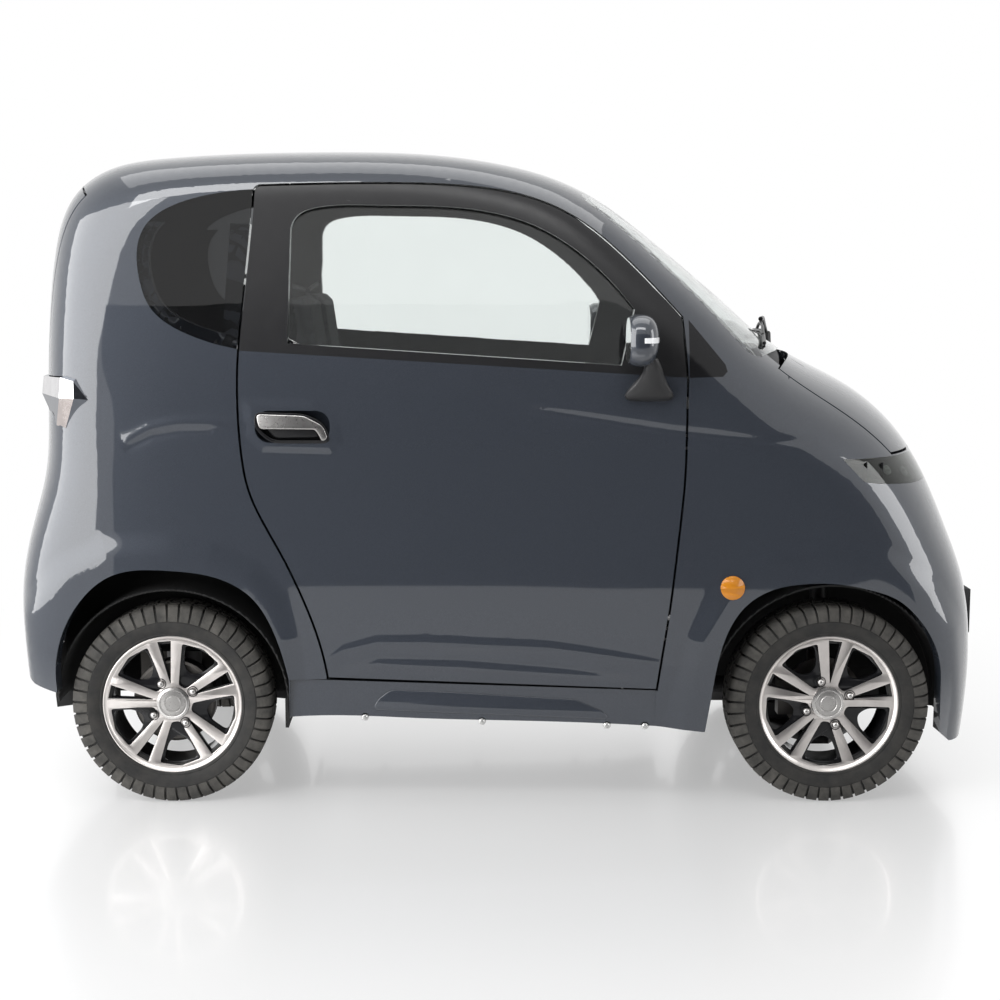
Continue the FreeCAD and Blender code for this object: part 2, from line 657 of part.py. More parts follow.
def quarter_region():
    points = side_points(QUARTER_REGION_SHARES)
    return side_prism(closed(points), TAILGATE_HALF_WIDTH, SKIN_REACH)


def fender_region():
    points = side_points(FENDER_REGION_SHARES)
    return side_prism(closed(points), COWL_HALF_WIDTH, SKIN_REACH)


def bumper_region():
    points = side_points(BUMPER_REGION_SHARES)
    return side_prism(closed(points), -SKIN_REACH, SKIN_REACH)


def valance_region():
    points = side_points(VALANCE_REGION_SHARES)
    return side_prism(closed(points), -TAILGATE_HALF_WIDTH, TAILGATE_HALF_WIDTH)


def bonnet_prism(growth, swing=0.0):
    """Bonnet outline: an arched rear edge and straight sides in plan, a level foot.

    The crown of the rear edge tips back as the bonnet opens, by up to the swing.
    """
    half = BONNET_HALF_WIDTH + growth
    foot = BONNET_FOOT_Z - growth
    centre_x, corner_x = BONNET_REAR_X - growth - swing, BONNET_REAR_X - BONNET_REAR_BOW - growth
    corners = [vec(corner_x, half, foot), vec(centre_x, 0, foot), vec(corner_x, -half, foot)]
    arc = Part.Arc(*corners).toShape()
    ends = [vec(BODY_LENGTH, -half, foot), vec(BODY_LENGTH, half, foot)]
    sides = [Part.makeLine(corners[2], ends[0]), Part.makeLine(*ends), Part.makeLine(ends[1], corners[0])]
    return Part.Face(Part.Wire([arc] + sides)).extrude(Z_AXIS * BODY_HEIGHT)


def tailgate_prism(growth):
    runs = closed(side_points(TAILGATE_CUT_SHARES))
    half = TAILGATE_HALF_WIDTH + growth
    return grown_prism(runs, growth, -half, half) if growth else side_prism(runs, -half, half)


def rear_glass_prism(shrink):
    """Rounded rear window, swept along X."""
    half = REAR_GLASS_HALF_WIDTH - shrink
    low, high = REAR_GLASS_FOOT_Z + shrink, REAR_GLASS_TOP_Z - shrink
    block = box(-BODY_LENGTH, REAR_AXLE_X, -half, half, low, high)
    corners = [edge for edge in block.Edges if abs(edge.tangentAt(0).x) > HALF]
    return block.makeFillet(REAR_GLASS_CORNER - shrink, corners)


def windscreen_prism(shrink):
    """Windscreen outline swept along the normal of its own plane."""
    (top_x, top_z), (foot_x, foot_z) = side_points(WINDSCREEN_LINE_SHARES)
    slope = vec(foot_x - top_x, 0, foot_z - top_z)
    length = slope.Length
    slope = slope.normalize()
    normal = Y_AXIS.cross(slope)
    normal = normal * -1 if normal.z < 0 else normal
    base = vec(top_x, 0, top_z) - normal * SKIN_REACH * HALF
    half_top, half_foot = WINDSCREEN_TOP_HALF - shrink, WINDSCREEN_FOOT_HALF - shrink
    side_foot = length - shrink - WINDSCREEN_BOW
    corners = ((shrink, half_top), (side_foot, half_foot), (length - shrink, 0), (side_foot, -half_foot),
               (shrink, -half_top))
    points = [base + slope * down + Y_AXIS * across for down, across in corners]
    edges = [Part.makeLine(points[0], points[1]), Part.Arc(*points[1:4]).toShape(),
             Part.makeLine(points[3], points[4]), Part.makeLine(points[4], points[0])]
    block = Part.Face(Part.Wire(edges)).extrude(normal * SKIN_REACH)
    upright = []
    for edge in block.Edges:
        if abs(edge.tangentAt(edge.FirstParameter).dot(normal)) > math.cos(HALF):
            upright.append(edge)
    return block.makeFillet(WINDSCREEN_CORNER - shrink, upright)


class Openings:
    """Prisms that cut the panels, shared by the panels and what fills them."""

    def __init__(self):
        self.door = grown_prism(door_runs(), SHUT_GAP)
        self.bonnet = bonnet_prism(SHUT_GAP)
        self.tailgate = tailgate_prism(SHUT_GAP)
        self.rear_arch = side_prism(arch_runs(REAR_ARCH_SHARES, REAR_AXLE_X))
        self.front_arch = side_prism(arch_runs(FRONT_ARCH_SHARES, FRONT_AXLE_X))
        self.headlamp = side_prism(closed(side_points(HEADLAMP_SHARES)), HEADLAMP_INNER_Y, SKIN_REACH)
        self.tail_lamp = side_prism(closed(side_points(TAIL_LAMP_SHARES)), TAIL_LAMP_INNER_Y, SKIN_REACH)
        self.trim = side_prism(closed(side_points(TRIANGLE_TRIM_SHARES)))
        self.quarter_glass = side_prism(curve_and_chord(QUARTER_GLASS_CURVE_SHARES))
        self.quarter_hole = side_prism(curve_and_chord(QUARTER_HOLE_CURVE_SHARES))


# Body panels
def roof_panel(skins, cuts):
    tools = [cuts.door, mirrored(cuts.door), cuts.tailgate]
    tools += [cuts.quarter_glass, mirrored(cuts.quarter_glass)]
    return clad(roof_region(), skins.outer, skins.inner, tools).cut(windscreen(skins))


def quarter_panel(skins, cuts):
    """Left rear side, wrapped round to the tailgate, with its arch and window."""
    tools = [cuts.door, cuts.tailgate, cuts.rear_arch, cuts.quarter_hole, cuts.tail_lamp]
    return clad(quarter_region(), skins.outer, skins.inner, tools).cut(quarter_pane(skins, cuts))


def quarter_pane(skins, cuts):
    """Tinted pane let into the quarter panel, up to the door's opening."""
    return clad(cuts.quarter_glass, skins.outer, skins.glass, [cuts.door])


def fender(skins, cuts):
    tools = [cuts.door, cuts.bonnet, cuts.front_arch, cuts.headlamp]
    return clad(fender_region(), skins.outer, skins.inner, tools)


def front_bumper(skins, cuts):
    tools = [cuts.bonnet]
    for tool in (cuts.front_arch, cuts.headlamp):
        tools += [tool, mirrored(tool)]
    return clad(bumper_region(), skins.outer, skins.inner, tools).cut(plate_holes())


def plate_carrier(skins):
    """Flat plinth on the bumper for a number plate, with two screw holes."""
    block = box(PLATE_FACE_X - OVERRUN - OVERRUN, PLATE_FACE_X, -PLATE_HALF_WIDTH, PLATE_HALF_WIDTH,
                PLATE_FOOT_Z, PLATE_FOOT_Z + PLATE_HEIGHT).cut(skins.outer)
    return block.cut(plate_holes())


def plate_holes():
    """Two blind screw holes through the plinth into the bumper behind it."""
    middle = PLATE_FOOT_Z + PLATE_HEIGHT * HALF
    holes = []
    for y in (-PLATE_SCREW_SPACING * HALF, PLATE_SCREW_SPACING * HALF):
        face = vec(PLATE_FACE_X, y, middle)
        holes.append(rod(PLATE_SCREW_RADIUS, face - X_AXIS * PLATE_SCREW_DEPTH, face + X_AXIS * OVERRUN))
    return Part.makeCompound(holes)


def rear_valance(skins, cuts):
    return clad(valance_region(), skins.outer, skins.inner, [cuts.tailgate])


def windscreen_frame(skins, cuts):
    tools = [cuts.door, mirrored(cuts.door), cuts.bonnet, windscreen_prism(GLASS_LEDGE), cowl_prism()]
    frame = clad(frame_region(), skins.outer, skins.inner, tools)
    trim = corner_trim(skins, cuts)
    return cut_by(frame, [windscreen(skins), trim, mirrored(trim)])


def cowl_prism():
    front = BONNET_REAR_X + OVERRUN
    return box(front - COWL_LENGTH, front, -COWL_HALF_WIDTH, COWL_HALF_WIDTH, FIREWALL_TOP_Z, BODY_HEIGHT)


def cowl_panel(skins, cuts):
    """Sunken black panel between the windscreen and the swing of the bonnet."""
    tools = [bonnet_prism(SHUT_GAP, BONNET_SWING), windscreen_prism(GLASS_LEDGE)]
    return clad(cowl_prism(), skins.recess, skins.inner, tools).cut(windscreen(skins))


def windscreen(skins):
    return clad(windscreen_prism(0), skins.outer, skins.glass)


def corner_trim(skins, cuts):
    """Left black triangle between the door and the fender."""
    return clad(cuts.trim, skins.outer, skins.glass, [cuts.door])


def bonnet_panel(skins, pockets):
    return clad(bonnet_prism(0), skins.outer, skins.inner, pockets)


def tailgate_panel(skins, pockets):
    tools = [rear_glass_prism(GLASS_LEDGE)] + pockets
    return clad(tailgate_prism(0), skins.outer, skins.inner, tools).cut(tailgate_glass(skins))


def tailgate_glass(skins):
    return clad(rear_glass_prism(0), skins.outer, skins.glass)


def headlamps(skins, cuts):
    lamp = clad(cuts.headlamp, skins.outer, skins.inner, [cuts.bonnet])
    return both_sides(lamp)


def tail_lamps(skins, cuts):
    lamp = clad(cuts.tail_lamp, skins.proud, skins.inner, [cuts.tailgate])
    return both_sides(lamp)


def side_indicators(skins):
    x, z = side_points(INDICATOR_SHARES)[0]
    foot = vec(x, BODY_HALF_WIDTH - OVERRUN, z)
    disc = rod(INDICATOR_RADIUS, foot, vec(x, BODY_HALF_WIDTH + INDICATOR_HEIGHT, z))
    return both_sides(disc.cut(skins.outer))


def sills():
    top = side_points(SILL_TOP_SHARES)
    foot = side_points(SILL_FOOT_SHARES)
    runs = [top, [top[-1], foot[0]], foot, [foot[-1], top[0]]]
    return both_sides(side_prism(runs, SILL_INNER_Y, SILL_OUTER_Y))


# Doors
def door_pockets():
    low, high = door_hinge_line()
    along = high - low
    pockets = []
    for spot in (low, high):
        pockets.append(placed(hinge_pocket(), hinge_frame(spot, along, Y_AXIS)))
    return pockets


def belt_block():
    """Everything below the belt line."""
    (rear_x, rear_z), (front_x, front_z) = side_points(DOOR_BELT_SHARES)
    corners = [(rear_x, rear_z), (front_x, front_z), (front_x, 0), (rear_x, 0)]
    return side_prism(closed(corners))


def door_panel(skins):
    """Painted lower door with the hinge leaves seated in their pockets."""
    low, high = door_hinge_line()
    leaves = [placed(hinge_leaf(), hinge_frame(spot, high - low, Y_AXIS)) for spot in (low, high)]
    cup = handle_outline(0, BODY_HALF_WIDTH - HANDLE_DEPTH, SKIN_REACH)
    lower = side_prism(door_runs()).common(belt_block())
    wall = clad(lower, skins.outer, skins.inner, door_pockets() + [cup])
    return fused([wall] + leaves)


def door_frame(skins):
    """Black upper frame round the window."""
    upper = side_prism(door_runs()).cut(belt_block())
    return clad(upper, skins.outer, skins.inner, [side_prism(window_runs())])


def door_glass(skins):
    return clad(side_prism(window_runs()), skins.pane_outer, skins.pane_inner)


def handle_outline(shrink, y_low, y_high):
    (rear_x, top_z), (front_x, foot_z) = side_points(HANDLE_SHARES)
    block = box(rear_x + shrink, front_x - shrink, y_low, y_high, foot_z + shrink, top_z - shrink)
    edges = [edge for edge in block.Edges if abs(edge.tangentAt(edge.FirstParameter).y) > HALF]
    return block.makeFillet(HANDLE_CORNER - shrink, edges)


def door_handle():
    """Bezel with a sunk cup and a pull bar across it."""
    floor_y = BODY_HALF_WIDTH - HANDLE_DEPTH
    bezel = handle_outline(0, floor_y, BODY_HALF_WIDTH + HANDLE_PROUD)
    cup = handle_outline(HANDLE_RIM, floor_y + HANDLE_RIM, SKIN_REACH)
    (rear_x, top_z), (front_x, foot_z) = side_points(HANDLE_SHARES)
    middle = (top_z + foot_z) * HALF
    bar = box(rear_x + HANDLE_RIM, front_x - HANDLE_RIM, BODY_HALF_WIDTH - HANDLE_RIM,
              BODY_HALF_WIDTH + HANDLE_PROUD, middle, top_z - HANDLE_RIM)
    return bezel.cut(cup).fuse(bar).removeSplitter()


def mirror():
    """Outside mirror: foot on the door, neck and rounded head."""
    x, z = side_points(MIRROR_SHARES)[0]
    foot_x, foot_z = side_points(MIRROR_SHARES)[1]
    head = box(x - MIRROR_GLASS_BACK, x + MIRROR_HALF_DEPTH, MIRROR_Y - MIRROR_HALF_WIDTH,
               MIRROR_Y + MIRROR_HALF_WIDTH, z - MIRROR_HALF_HEIGHT, z + MIRROR_HALF_HEIGHT)
    lengthwise = [edge for edge in head.Edges if abs(edge.tangentAt(edge.FirstParameter).x) > HALF]
    head = head.makeFillet(MIRROR_CORNER, lengthwise)
    nose = [edge for edge in head.Edges if edge.BoundBox.XMin > x]
    head = head.makeFillet(MIRROR_NOSE_ROUND, nose)
    foot = vec(foot_x, BODY_HALF_WIDTH - SIDE_WALL * HALF, foot_z)
    neck = rod(MIRROR_NECK_RADIUS, foot, vec(x, MIRROR_Y, z))
    return head.fuse(neck)


# Chassis and cabin
def floor_pan(skins):
    """Firewall, floor, bulkhead behind the seats and luggage floor in one folded sheet."""
    top, low = FIREWALL_TOP_Z, FLOOR_Z
    sheet = FLOOR_SHEET
    upper = [(FIREWALL_X, top), (FIREWALL_X, low + sheet), (BULKHEAD_X, low + sheet),
             (BULKHEAD_X, TRUNK_FLOOR_Z + sheet), (TRUNK_REAR_X, TRUNK_FLOOR_Z + sheet)]
    lower = [(TRUNK_REAR_X, TRUNK_FLOOR_Z), (BULKHEAD_X - sheet, TRUNK_FLOOR_Z), (BULKHEAD_X - sheet, low),
             (FIREWALL_X + sheet, low), (FIREWALL_X + sheet, top)]
    pan = side_prism(closed(upper + lower), -SKIN_REACH, SKIN_REACH).common(skins.inner)
    sides = []
    for side in (1, -1):
        low_y, high_y = sorted((side * SILL_INNER_Y, side * SKIN_REACH))
        sides.append(box(BULKHEAD_X - sheet, FIREWALL_X, low_y, high_y, 0, SILL_SHELF_Z))
    return cut_by(pan, sides)


def chassis_frame():
    """Two rails that kick up over the rear axle, with cross members."""
    low = FLOOR_Z - RAIL_HEIGHT
    kick_z = RAIL_KICK_Z
    start_x = BULKHEAD_X - FLOOR_SHEET
    end_x = start_x - RAIL_KICK_RUN
    top = [(RAIL_FRONT_X, FLOOR_Z), (start_x, FLOOR_Z), (end_x, kick_z), (RAIL_REAR_X, kick_z)]
    foot = [(RAIL_REAR_X, kick_z - RAIL_HEIGHT), (end_x, kick_z - RAIL_HEIGHT),
            (start_x, low), (RAIL_FRONT_X, low)]
    half = RAIL_WIDTH * HALF
    shapes = []
    for side in (1, -1):
        shapes.append(side_prism(closed(top + foot), side * RAIL_Y - half, side * RAIL_Y + half))
    inner = RAIL_Y - half
    for x in (RAIL_FRONT_X - RAIL_WIDTH, FIREWALL_X - RAIL_WIDTH, BULKHEAD_X + RAIL_WIDTH):
        shapes.append(box(x, x + RAIL_WIDTH, -inner, inner, low, FLOOR_Z))
    shapes.append(box(RAIL_REAR_X, RAIL_REAR_X + RAIL_WIDTH, -inner, inner, kick_z - RAIL_HEIGHT, kick_z))
    outer = RAIL_Y + half
    for x in (FIREWALL_X - RAIL_WIDTH, BULKHEAD_X + RAIL_WIDTH):
        for low_y, high_y in ((outer, SILL_INNER_Y), (-SILL_INNER_Y, -outer)):
            shapes.append(box(x, x + RAIL_WIDTH, low_y, high_y, low + RAIL_WIDTH * HALF, FLOOR_Z))
    return fused(shapes)


def wheel_liner(skins, axle_x, radius, inner_y, top_z, foot_z):
    """Half barrel over a wheel with its inner wall."""
    outer = radius + LINER_SHEET
    barrel = rod(outer, vec(axle_x, inner_y, HUB_Z), vec(axle_x, SKIN_REACH, HUB_Z))
    barrel = barrel.cut(rod(radius, vec(axle_x, inner_y, HUB_Z), vec(axle_x, SKIN_REACH, HUB_Z)))
    below = box(axle_x - BODY_LENGTH, axle_x + BODY_LENGTH, 0, SKIN_REACH, 0, HUB_Z)
    wall = box(axle_x - outer, axle_x + outer, inner_y - LINER_SHEET, inner_y, foot_z, top_z)
    return barrel.cut(below).fuse(wall).common(skins.inner)


def wheel_liners(skins):
    front = wheel_liner(skins, FRONT_AXLE_X, FRONT_LINER_RADIUS, FRONT_LINER_INNER_Y, APRON_TOP_Z, FLOOR_Z)
    tower = box(FRONT_AXLE_X - TOWER_HALF, FRONT_AXLE_X + TOWER_HALF, FRONT_LINER_INNER_Y, SKIN_REACH,
                STRUT_TOP_Z, STRUT_TOP_Z + FLOOR_SHEET).common(skins.inner)
    hole_foot = vec(FRONT_AXLE_X, strut_y(HUB_Z + FRONT_LINER_RADIUS), HUB_Z + TYRE_RADIUS)
    hole = rod(SPRING_RADIUS + OVERRUN, hole_foot, strut_point(STRUT_TOP_Z))
    slot = box(FRONT_AXLE_X - UPRIGHT_WIDTH, FRONT_AXLE_X + UPRIGHT_WIDTH, FRONT_LINER_INNER_Y - OVERRUN,
               FRONT_LINER_INNER_Y, 0, HUB_Z)
    front = cut_by(front, [hole, slot]).fuse(tower)
    rear = wheel_liner(skins, REAR_AXLE_X, REAR_LINER_RADIUS, REAR_LINER_INNER_Y, TRUNK_FLOOR_Z, HUB_Z)
    opening = box(REAR_AXLE_X - DRUM_RADIUS, REAR_AXLE_X + DRUM_RADIUS, REAR_LINER_INNER_Y - OVERRUN,
                  REAR_LINER_INNER_Y, 0, HUB_Z + DRUM_RADIUS)
    rear = rear.cut(opening)
    return Part.makeCompound([front, rear, mirrored(front), mirrored(rear)])


def seat():
    """One bucket seat with a tall back, left side."""
    half = SEAT_WIDTH * HALF
    cushion_low = SEAT_CUSHION_TOP_Z - SEAT_CUSHION_DEPTH
    points = [(SEAT_FRONT_X, cushion_low), (SEAT_FRONT_X, SEAT_CUSHION_TOP_Z),
              (SEAT_BACK_X, SEAT_CUSHION_TOP_Z), (SEAT_BACK_X - SEAT_BACK_LEAN, SEAT_BACK_TOP_Z),
              (SEAT_BACK_X - SEAT_BACK_LEAN - SEAT_BACK_THICKNESS * HALF, SEAT_BACK_TOP_Z),
              (SEAT_BACK_X - SEAT_BACK_THICKNESS, cushion_low)]
    return side_prism(closed(points), SEAT_Y - half, SEAT_Y + half)


def battery_block():
    return box(SEAT_BACK_X, SEAT_FRONT_X - OVERRUN, -BATTERY_HALF_WIDTH, BATTERY_HALF_WIDTH,
               FLOOR_Z + FLOOR_SHEET, SEAT_CUSHION_TOP_Z - SEAT_CUSHION_DEPTH)


def dashboard(skins):
    points = [(FIREWALL_X, DASH_FOOT_Z), (DASH_FRONT_X, DASH_FOOT_Z + DASH_LIP),
              (DASH_FRONT_X, DASH_TOP_Z - DASH_LIP), (DASH_FRONT_X + DASH_LIP, DASH_TOP_Z),
              (FIREWALL_X, DASH_TOP_Z + DASH_LIP * HALF)]
    return side_prism(closed(points), -DASH_HALF_WIDTH, DASH_HALF_WIDTH).common(skins.inner)


def driver_controls():
    """Steering column and two hanging pedals."""
    along = steer_axis()
    start = vec(STEER_WHEEL_X, SEAT_Y, STEER_WHEEL_Z) - along * STEER_HUB_DROP
    shapes = [rod(COLUMN_RADIUS, start - along * COLUMN_LENGTH, start)]
    for y in (SEAT_Y - PEDAL_SPACING * HALF, SEAT_Y + PEDAL_SPACING * HALF):
        top = vec(FIREWALL_X, y, PEDAL_TOP_Z)
        pad = vec(PEDAL_X, y, PEDAL_FOOT_Z)
        shapes.append(rod(PEDAL_ARM_RADIUS, top, pad).fuse(
            box(PEDAL_X - PEDAL_ARM_RADIUS, PEDAL_X + PEDAL_ARM_RADIUS, y - PEDAL_WIDTH * HALF,
                y + PEDAL_WIDTH * HALF, PEDAL_FOOT_Z - PEDAL_WIDTH, PEDAL_FOOT_Z)))
    return shapes


def steer_axis():
    """Direction from the column up to the driver."""
    rake = math.radians(COLUMN_RAKE_DEG)
    return vec(-math.cos(rake), 0, math.sin(rake))


def steering_wheel():
    along = steer_axis()
    centre = vec(STEER_WHEEL_X, SEAT_Y, STEER_WHEEL_Z)
    rim = Part.makeTorus(STEER_WHEEL_RADIUS, STEER_RIM_RADIUS, centre, along)
    hub = rod(STEER_HUB_RADIUS, centre - along * (STEER_HUB_DROP - SEAT_GAP), centre)
    shapes = [rim, hub]
    across = along.cross(Y_AXIS)
    for direction in (Y_AXIS, Y_AXIS * -1, across if across.z < 0 else across * -1):
        tip = centre + direction * STEER_WHEEL_RADIUS
        shapes.append(rod(STEER_RIM_RADIUS, centre - along * STEER_RIM_RADIUS, tip))
    return fused(shapes)


# Wheels, built about a left wheel's centre with the outer face towards +Y
def turned(profile):
    """Ring from (radius, y) points turned about the wheel's axle."""
    points = [vec(radius, y, 0) for radius, y in profile]
    face = Part.Face(Part.makePolygon(points + points[:1]))
    return face.revolve(ORIGIN, Y_AXIS, 360)


def faceted_ring(profile, sides):
    """Ring of flat facets from (radius, y) points, with every corner on the turned surface."""
    slices = []
    for index in range(sides):
        angle = 2 * math.pi * index / sides
        slices.append([vec(math.sin(angle) * radius, y, math.cos(angle) * radius) for radius, y in profile])
    facets = []
    for near, far in zip(slices, slices[1:] + slices[:1]):
        for index in range(len(profile)):
            after = (index + 1) % len(profile)
            corners = [near[index], near[after], far[after], far[index], near[index]]
            facets.append(Part.Face(Part.makePolygon(corners)))
    return Part.makeSolid(Part.makeShell(facets))


def tyre():
    """Tyre in flat facets, whose bore is set out so that the middle of each facet meets the rim."""
    half = TYRE_WIDTH * HALF
    seat_half = RIM_WIDTH * HALF - RIM_FLANGE_WIDTH
    shoulder_y = half * TYRE_SHOULDER_SHARE
    crown_y = half * TYRE_CROWN_SHARE
    bulge_radius = BEAD_RADIUS + (TYRE_RADIUS - BEAD_RADIUS) * HALF
    set_out = 1 / math.cos(math.pi / TYRE_SIDES)
    bore = BEAD_RADIUS * set_out
    flange = (FLANGE_RADIUS + SEAT_GAP) * set_out
    wall = [(bore, seat_half), (flange, seat_half), (flange, RIM_WIDTH * HALF + SEAT_GAP), (bulge_radius, half),
            (TYRE_RADIUS * TYRE_SHOULDER_RADIUS_SHARE, shoulder_y), (TYRE_RADIUS, crown_y)]
    return faceted_ring(wall + [(radius, -y) for radius, y in reversed(wall)], TYRE_SIDES)


def rim():
    """Alloy rim: barrel with two flanges, hub pad and split spokes."""
    half = RIM_WIDTH * HALF
    bead = half - RIM_FLANGE_WIDTH
    inner = BEAD_RADIUS - RIM_WALL
    barrel = turned([(inner, half), (FLANGE_RADIUS, half), (FLANGE_RADIUS, bead), (BEAD_RADIUS, bead),
                     (BEAD_RADIUS, -bead), (FLANGE_RADIUS, -bead), (FLANGE_RADIUS, -half), (inner, -half)])
    face = half - SPOKE_FACE_INSET
    pad = turned([(HUB_BORE_RADIUS, face), (HUB_PAD_RADIUS, face), (HUB_PAD_RADIUS, face - SPOKE_THICKNESS),
                  (HUB_BORE_RADIUS, face - SPOKE_THICKNESS)])
    shapes = [barrel, pad]
    for index in range(SPOKE_COUNT):
        for lean in (-1, 1):
            shapes.append(spoke(index * 360 / SPOKE_COUNT, lean, face))
    return fused(shapes)


def spoke(turn_deg, lean, face):
    """One leg of a split spoke, tapering from the hub pad to the rim."""
    start = HUB_PAD_RADIUS - SPOKE_THICKNESS
    end = BEAD_RADIUS - RIM_WALL * HALF
    root = math.radians(SPOKE_SPLIT_DEG * HALF) * lean
    tip = math.radians(SPOKE_SPLIT_DEG) * lean
    points = []
    for radius, angle, width in ((start, root, SPOKE_WIDTH_INNER), (end, tip, SPOKE_WIDTH_OUTER)):
        centre = vec(math.sin(angle) * radius, 0, math.cos(angle) * radius)
        side = vec(math.cos(angle), 0, -math.sin(angle)) * (width * HALF)
        points.append((centre - side, centre + side))
    (a, b), (c, d) = points
    leg = Part.Face(Part.makePolygon([a, b, d, c, a])).extrude(Y_AXIS * SPOKE_THICKNESS)
    leg.translate(Y_AXIS * (face - SPOKE_THICKNESS))
    leg.rotate(ORIGIN, Y_AXIS, turn_deg)
    return leg


def hub_trim(face):
    """Centre cap and wheel nuts on the hub pad."""
    shapes = []
    cap = rod(CAP_RADIUS, vec(0, face, 0), vec(0, face + CAP_HEIGHT, 0))
    shapes.append(cap)
    for index in range(LUG_COUNT):
        angle = math.radians(360 / LUG_COUNT * (index + HALF))
        x, z = LUG_CIRCLE_RADIUS * math.sin(angle), LUG_CIRCLE_RADIUS * math.cos(angle)
        shapes.append(rod(LUG_RADIUS, vec(x, face, z), vec(x, face + LUG_HEIGHT, z)))
    return shapes


def front_wheel():
    """Rim with its brake disc, turning on the knuckle's stub."""
    half = RIM_WIDTH * HALF
    face = half - SPOKE_FACE_INSET
    back = face - SPOKE_THICKNESS
    disc_y = -DISC_INSET
    disc = turned([(HUB_BORE_RADIUS, disc_y), (DISC_RADIUS, disc_y), (DISC_RADIUS, disc_y + DISC_THICKNESS),
                   (HUB_PAD_RADIUS - OVERRUN, disc_y + DISC_THICKNESS), (HUB_PAD_RADIUS - OVERRUN, back),
                   (HUB_BORE_RADIUS, back)])
    return fused([rim(), disc] + hub_trim(face))


def rear_wheel():
    """Rim with its brake drum."""
    face = RIM_WIDTH * HALF - SPOKE_FACE_INSET
    back = face - SPOKE_THICKNESS
    drum = turned([(HUB_BORE_RADIUS, back - DRUM_DEPTH), (DRUM_RADIUS, back - DRUM_DEPTH),
                   (DRUM_RADIUS, back), (HUB_BORE_RADIUS, back)])
    return fused([rim(), drum] + hub_trim(face))


def at_wheel(shape, axle_x, side):
    copy = shape.copy()
    copy.translate(vec(axle_x, WHEEL_Y, HUB_Z))
    return on_side(copy, side)


# Suspension
def strut_y(z):
    """Kingpin line's y at a height, leaning inward towards the top."""
    part = (z - KINGPIN_FOOT_Z) / (STRUT_TOP_Z - KINGPIN_FOOT_Z)
    return KINGPIN_FOOT_Y + (KINGPIN_TOP_Y - KINGPIN_FOOT_Y) * part


def strut_point(z):
    return vec(FRONT_AXLE_X, strut_y(z), z)


def kingpin_axis():
    return (strut_point(STRUT_TOP_Z) - strut_point(KINGPIN_FOOT_Z)).normalize()


def knuckle():
    """Left steering knuckle: upright, stub axle, strut collar and brake caliper."""
    half = UPRIGHT_WIDTH * HALF
    across = kingpin_axis().cross(X_AXIS) * (UPRIGHT_THICKNESS * HALF)
    low, high = strut_point(UPRIGHT_FOOT_Z), strut_point(UPRIGHT_TOP_Z)
    points = [point - X_AXIS * half for point in (low - across, low + across, high + across, high - across)]
    upright = Part.Face(Part.makePolygon(points + points[:1])).extrude(X_AXIS * UPRIGHT_WIDTH)
    stub = rod(STUB_RADIUS, strut_point(HUB_Z), vec(FRONT_AXLE_X, WHEEL_Y + STUB_REACH, HUB_Z))
    disc_low = WHEEL_Y - DISC_INSET - PAD_GAP
    disc_high = WHEEL_Y - DISC_INSET + DISC_THICKNESS + PAD_GAP
    outer_radius = DISC_RADIUS + CALIPER_RISE
    caliper = box(FRONT_AXLE_X - outer_radius, FRONT_AXLE_X - DISC_RADIUS + CALIPER_WIDTH,
                  disc_low - CALIPER_WALL, disc_high + CALIPER_WALL, HUB_Z - CALIPER_LENGTH * HALF,
                  HUB_Z + CALIPER_LENGTH * HALF)
    slot = rod(DISC_RADIUS + PAD_GAP, vec(FRONT_AXLE_X, disc_low, HUB_Z), vec(FRONT_AXLE_X, disc_high, HUB_Z))
    carrier = box(FRONT_AXLE_X - DISC_RADIUS, FRONT_AXLE_X, disc_low - CALIPER_WALL, disc_low,
                  HUB_Z - half, HUB_Z + half)
    return fused([upright, stub, caliper.cut(slot), carrier])


def front_suspension():
    """Left strut with its coil spring and the lower arm from the rail."""
    foot = strut_point(UPRIGHT_TOP_Z + SEAT_GAP)
    top = strut_point(STRUT_TOP_Z + OVERRUN)
    strut = rod(STRUT_RADIUS, foot, top)
    perch_z = HUB_Z + TYRE_RADIUS + OVERRUN
    spring = rod(SPRING_RADIUS, strut_point(perch_z), top)
    above = box(FRONT_AXLE_X - SKIN_REACH, FRONT_AXLE_X + SKIN_REACH, 0, SKIN_REACH, STRUT_TOP_Z, BODY_HEIGHT)
    arm_foot = ARM_TOP_Z - ARM_THICKNESS
    stud = rod(BALL_STUD_RADIUS, strut_point(arm_foot), strut_point(UPRIGHT_FOOT_Z - SEAT_GAP))
    inner = RAIL_Y + RAIL_WIDTH * HALF
    half = ARM_WIDTH * HALF
    reach = ARM_SPREAD * HALF
    points = [vec(FRONT_AXLE_X - reach, inner, arm_foot), vec(FRONT_AXLE_X + reach, inner, arm_foot),
              vec(FRONT_AXLE_X + half, KINGPIN_FOOT_Y + half, arm_foot),
              vec(FRONT_AXLE_X - half, KINGPIN_FOOT_Y + half, arm_foot)]
    arm = Part.Face(Part.makePolygon(points + points[:1])).extrude(Z_AXIS * ARM_THICKNESS)
    hanger = box(FRONT_AXLE_X - reach, FRONT_AXLE_X + reach, RAIL_Y - RAIL_WIDTH * HALF, inner,
                 arm_foot, FLOOR_Z - RAIL_HEIGHT)
    return [strut.fuse(spring).cut(above), fused([arm, hanger, stud])]


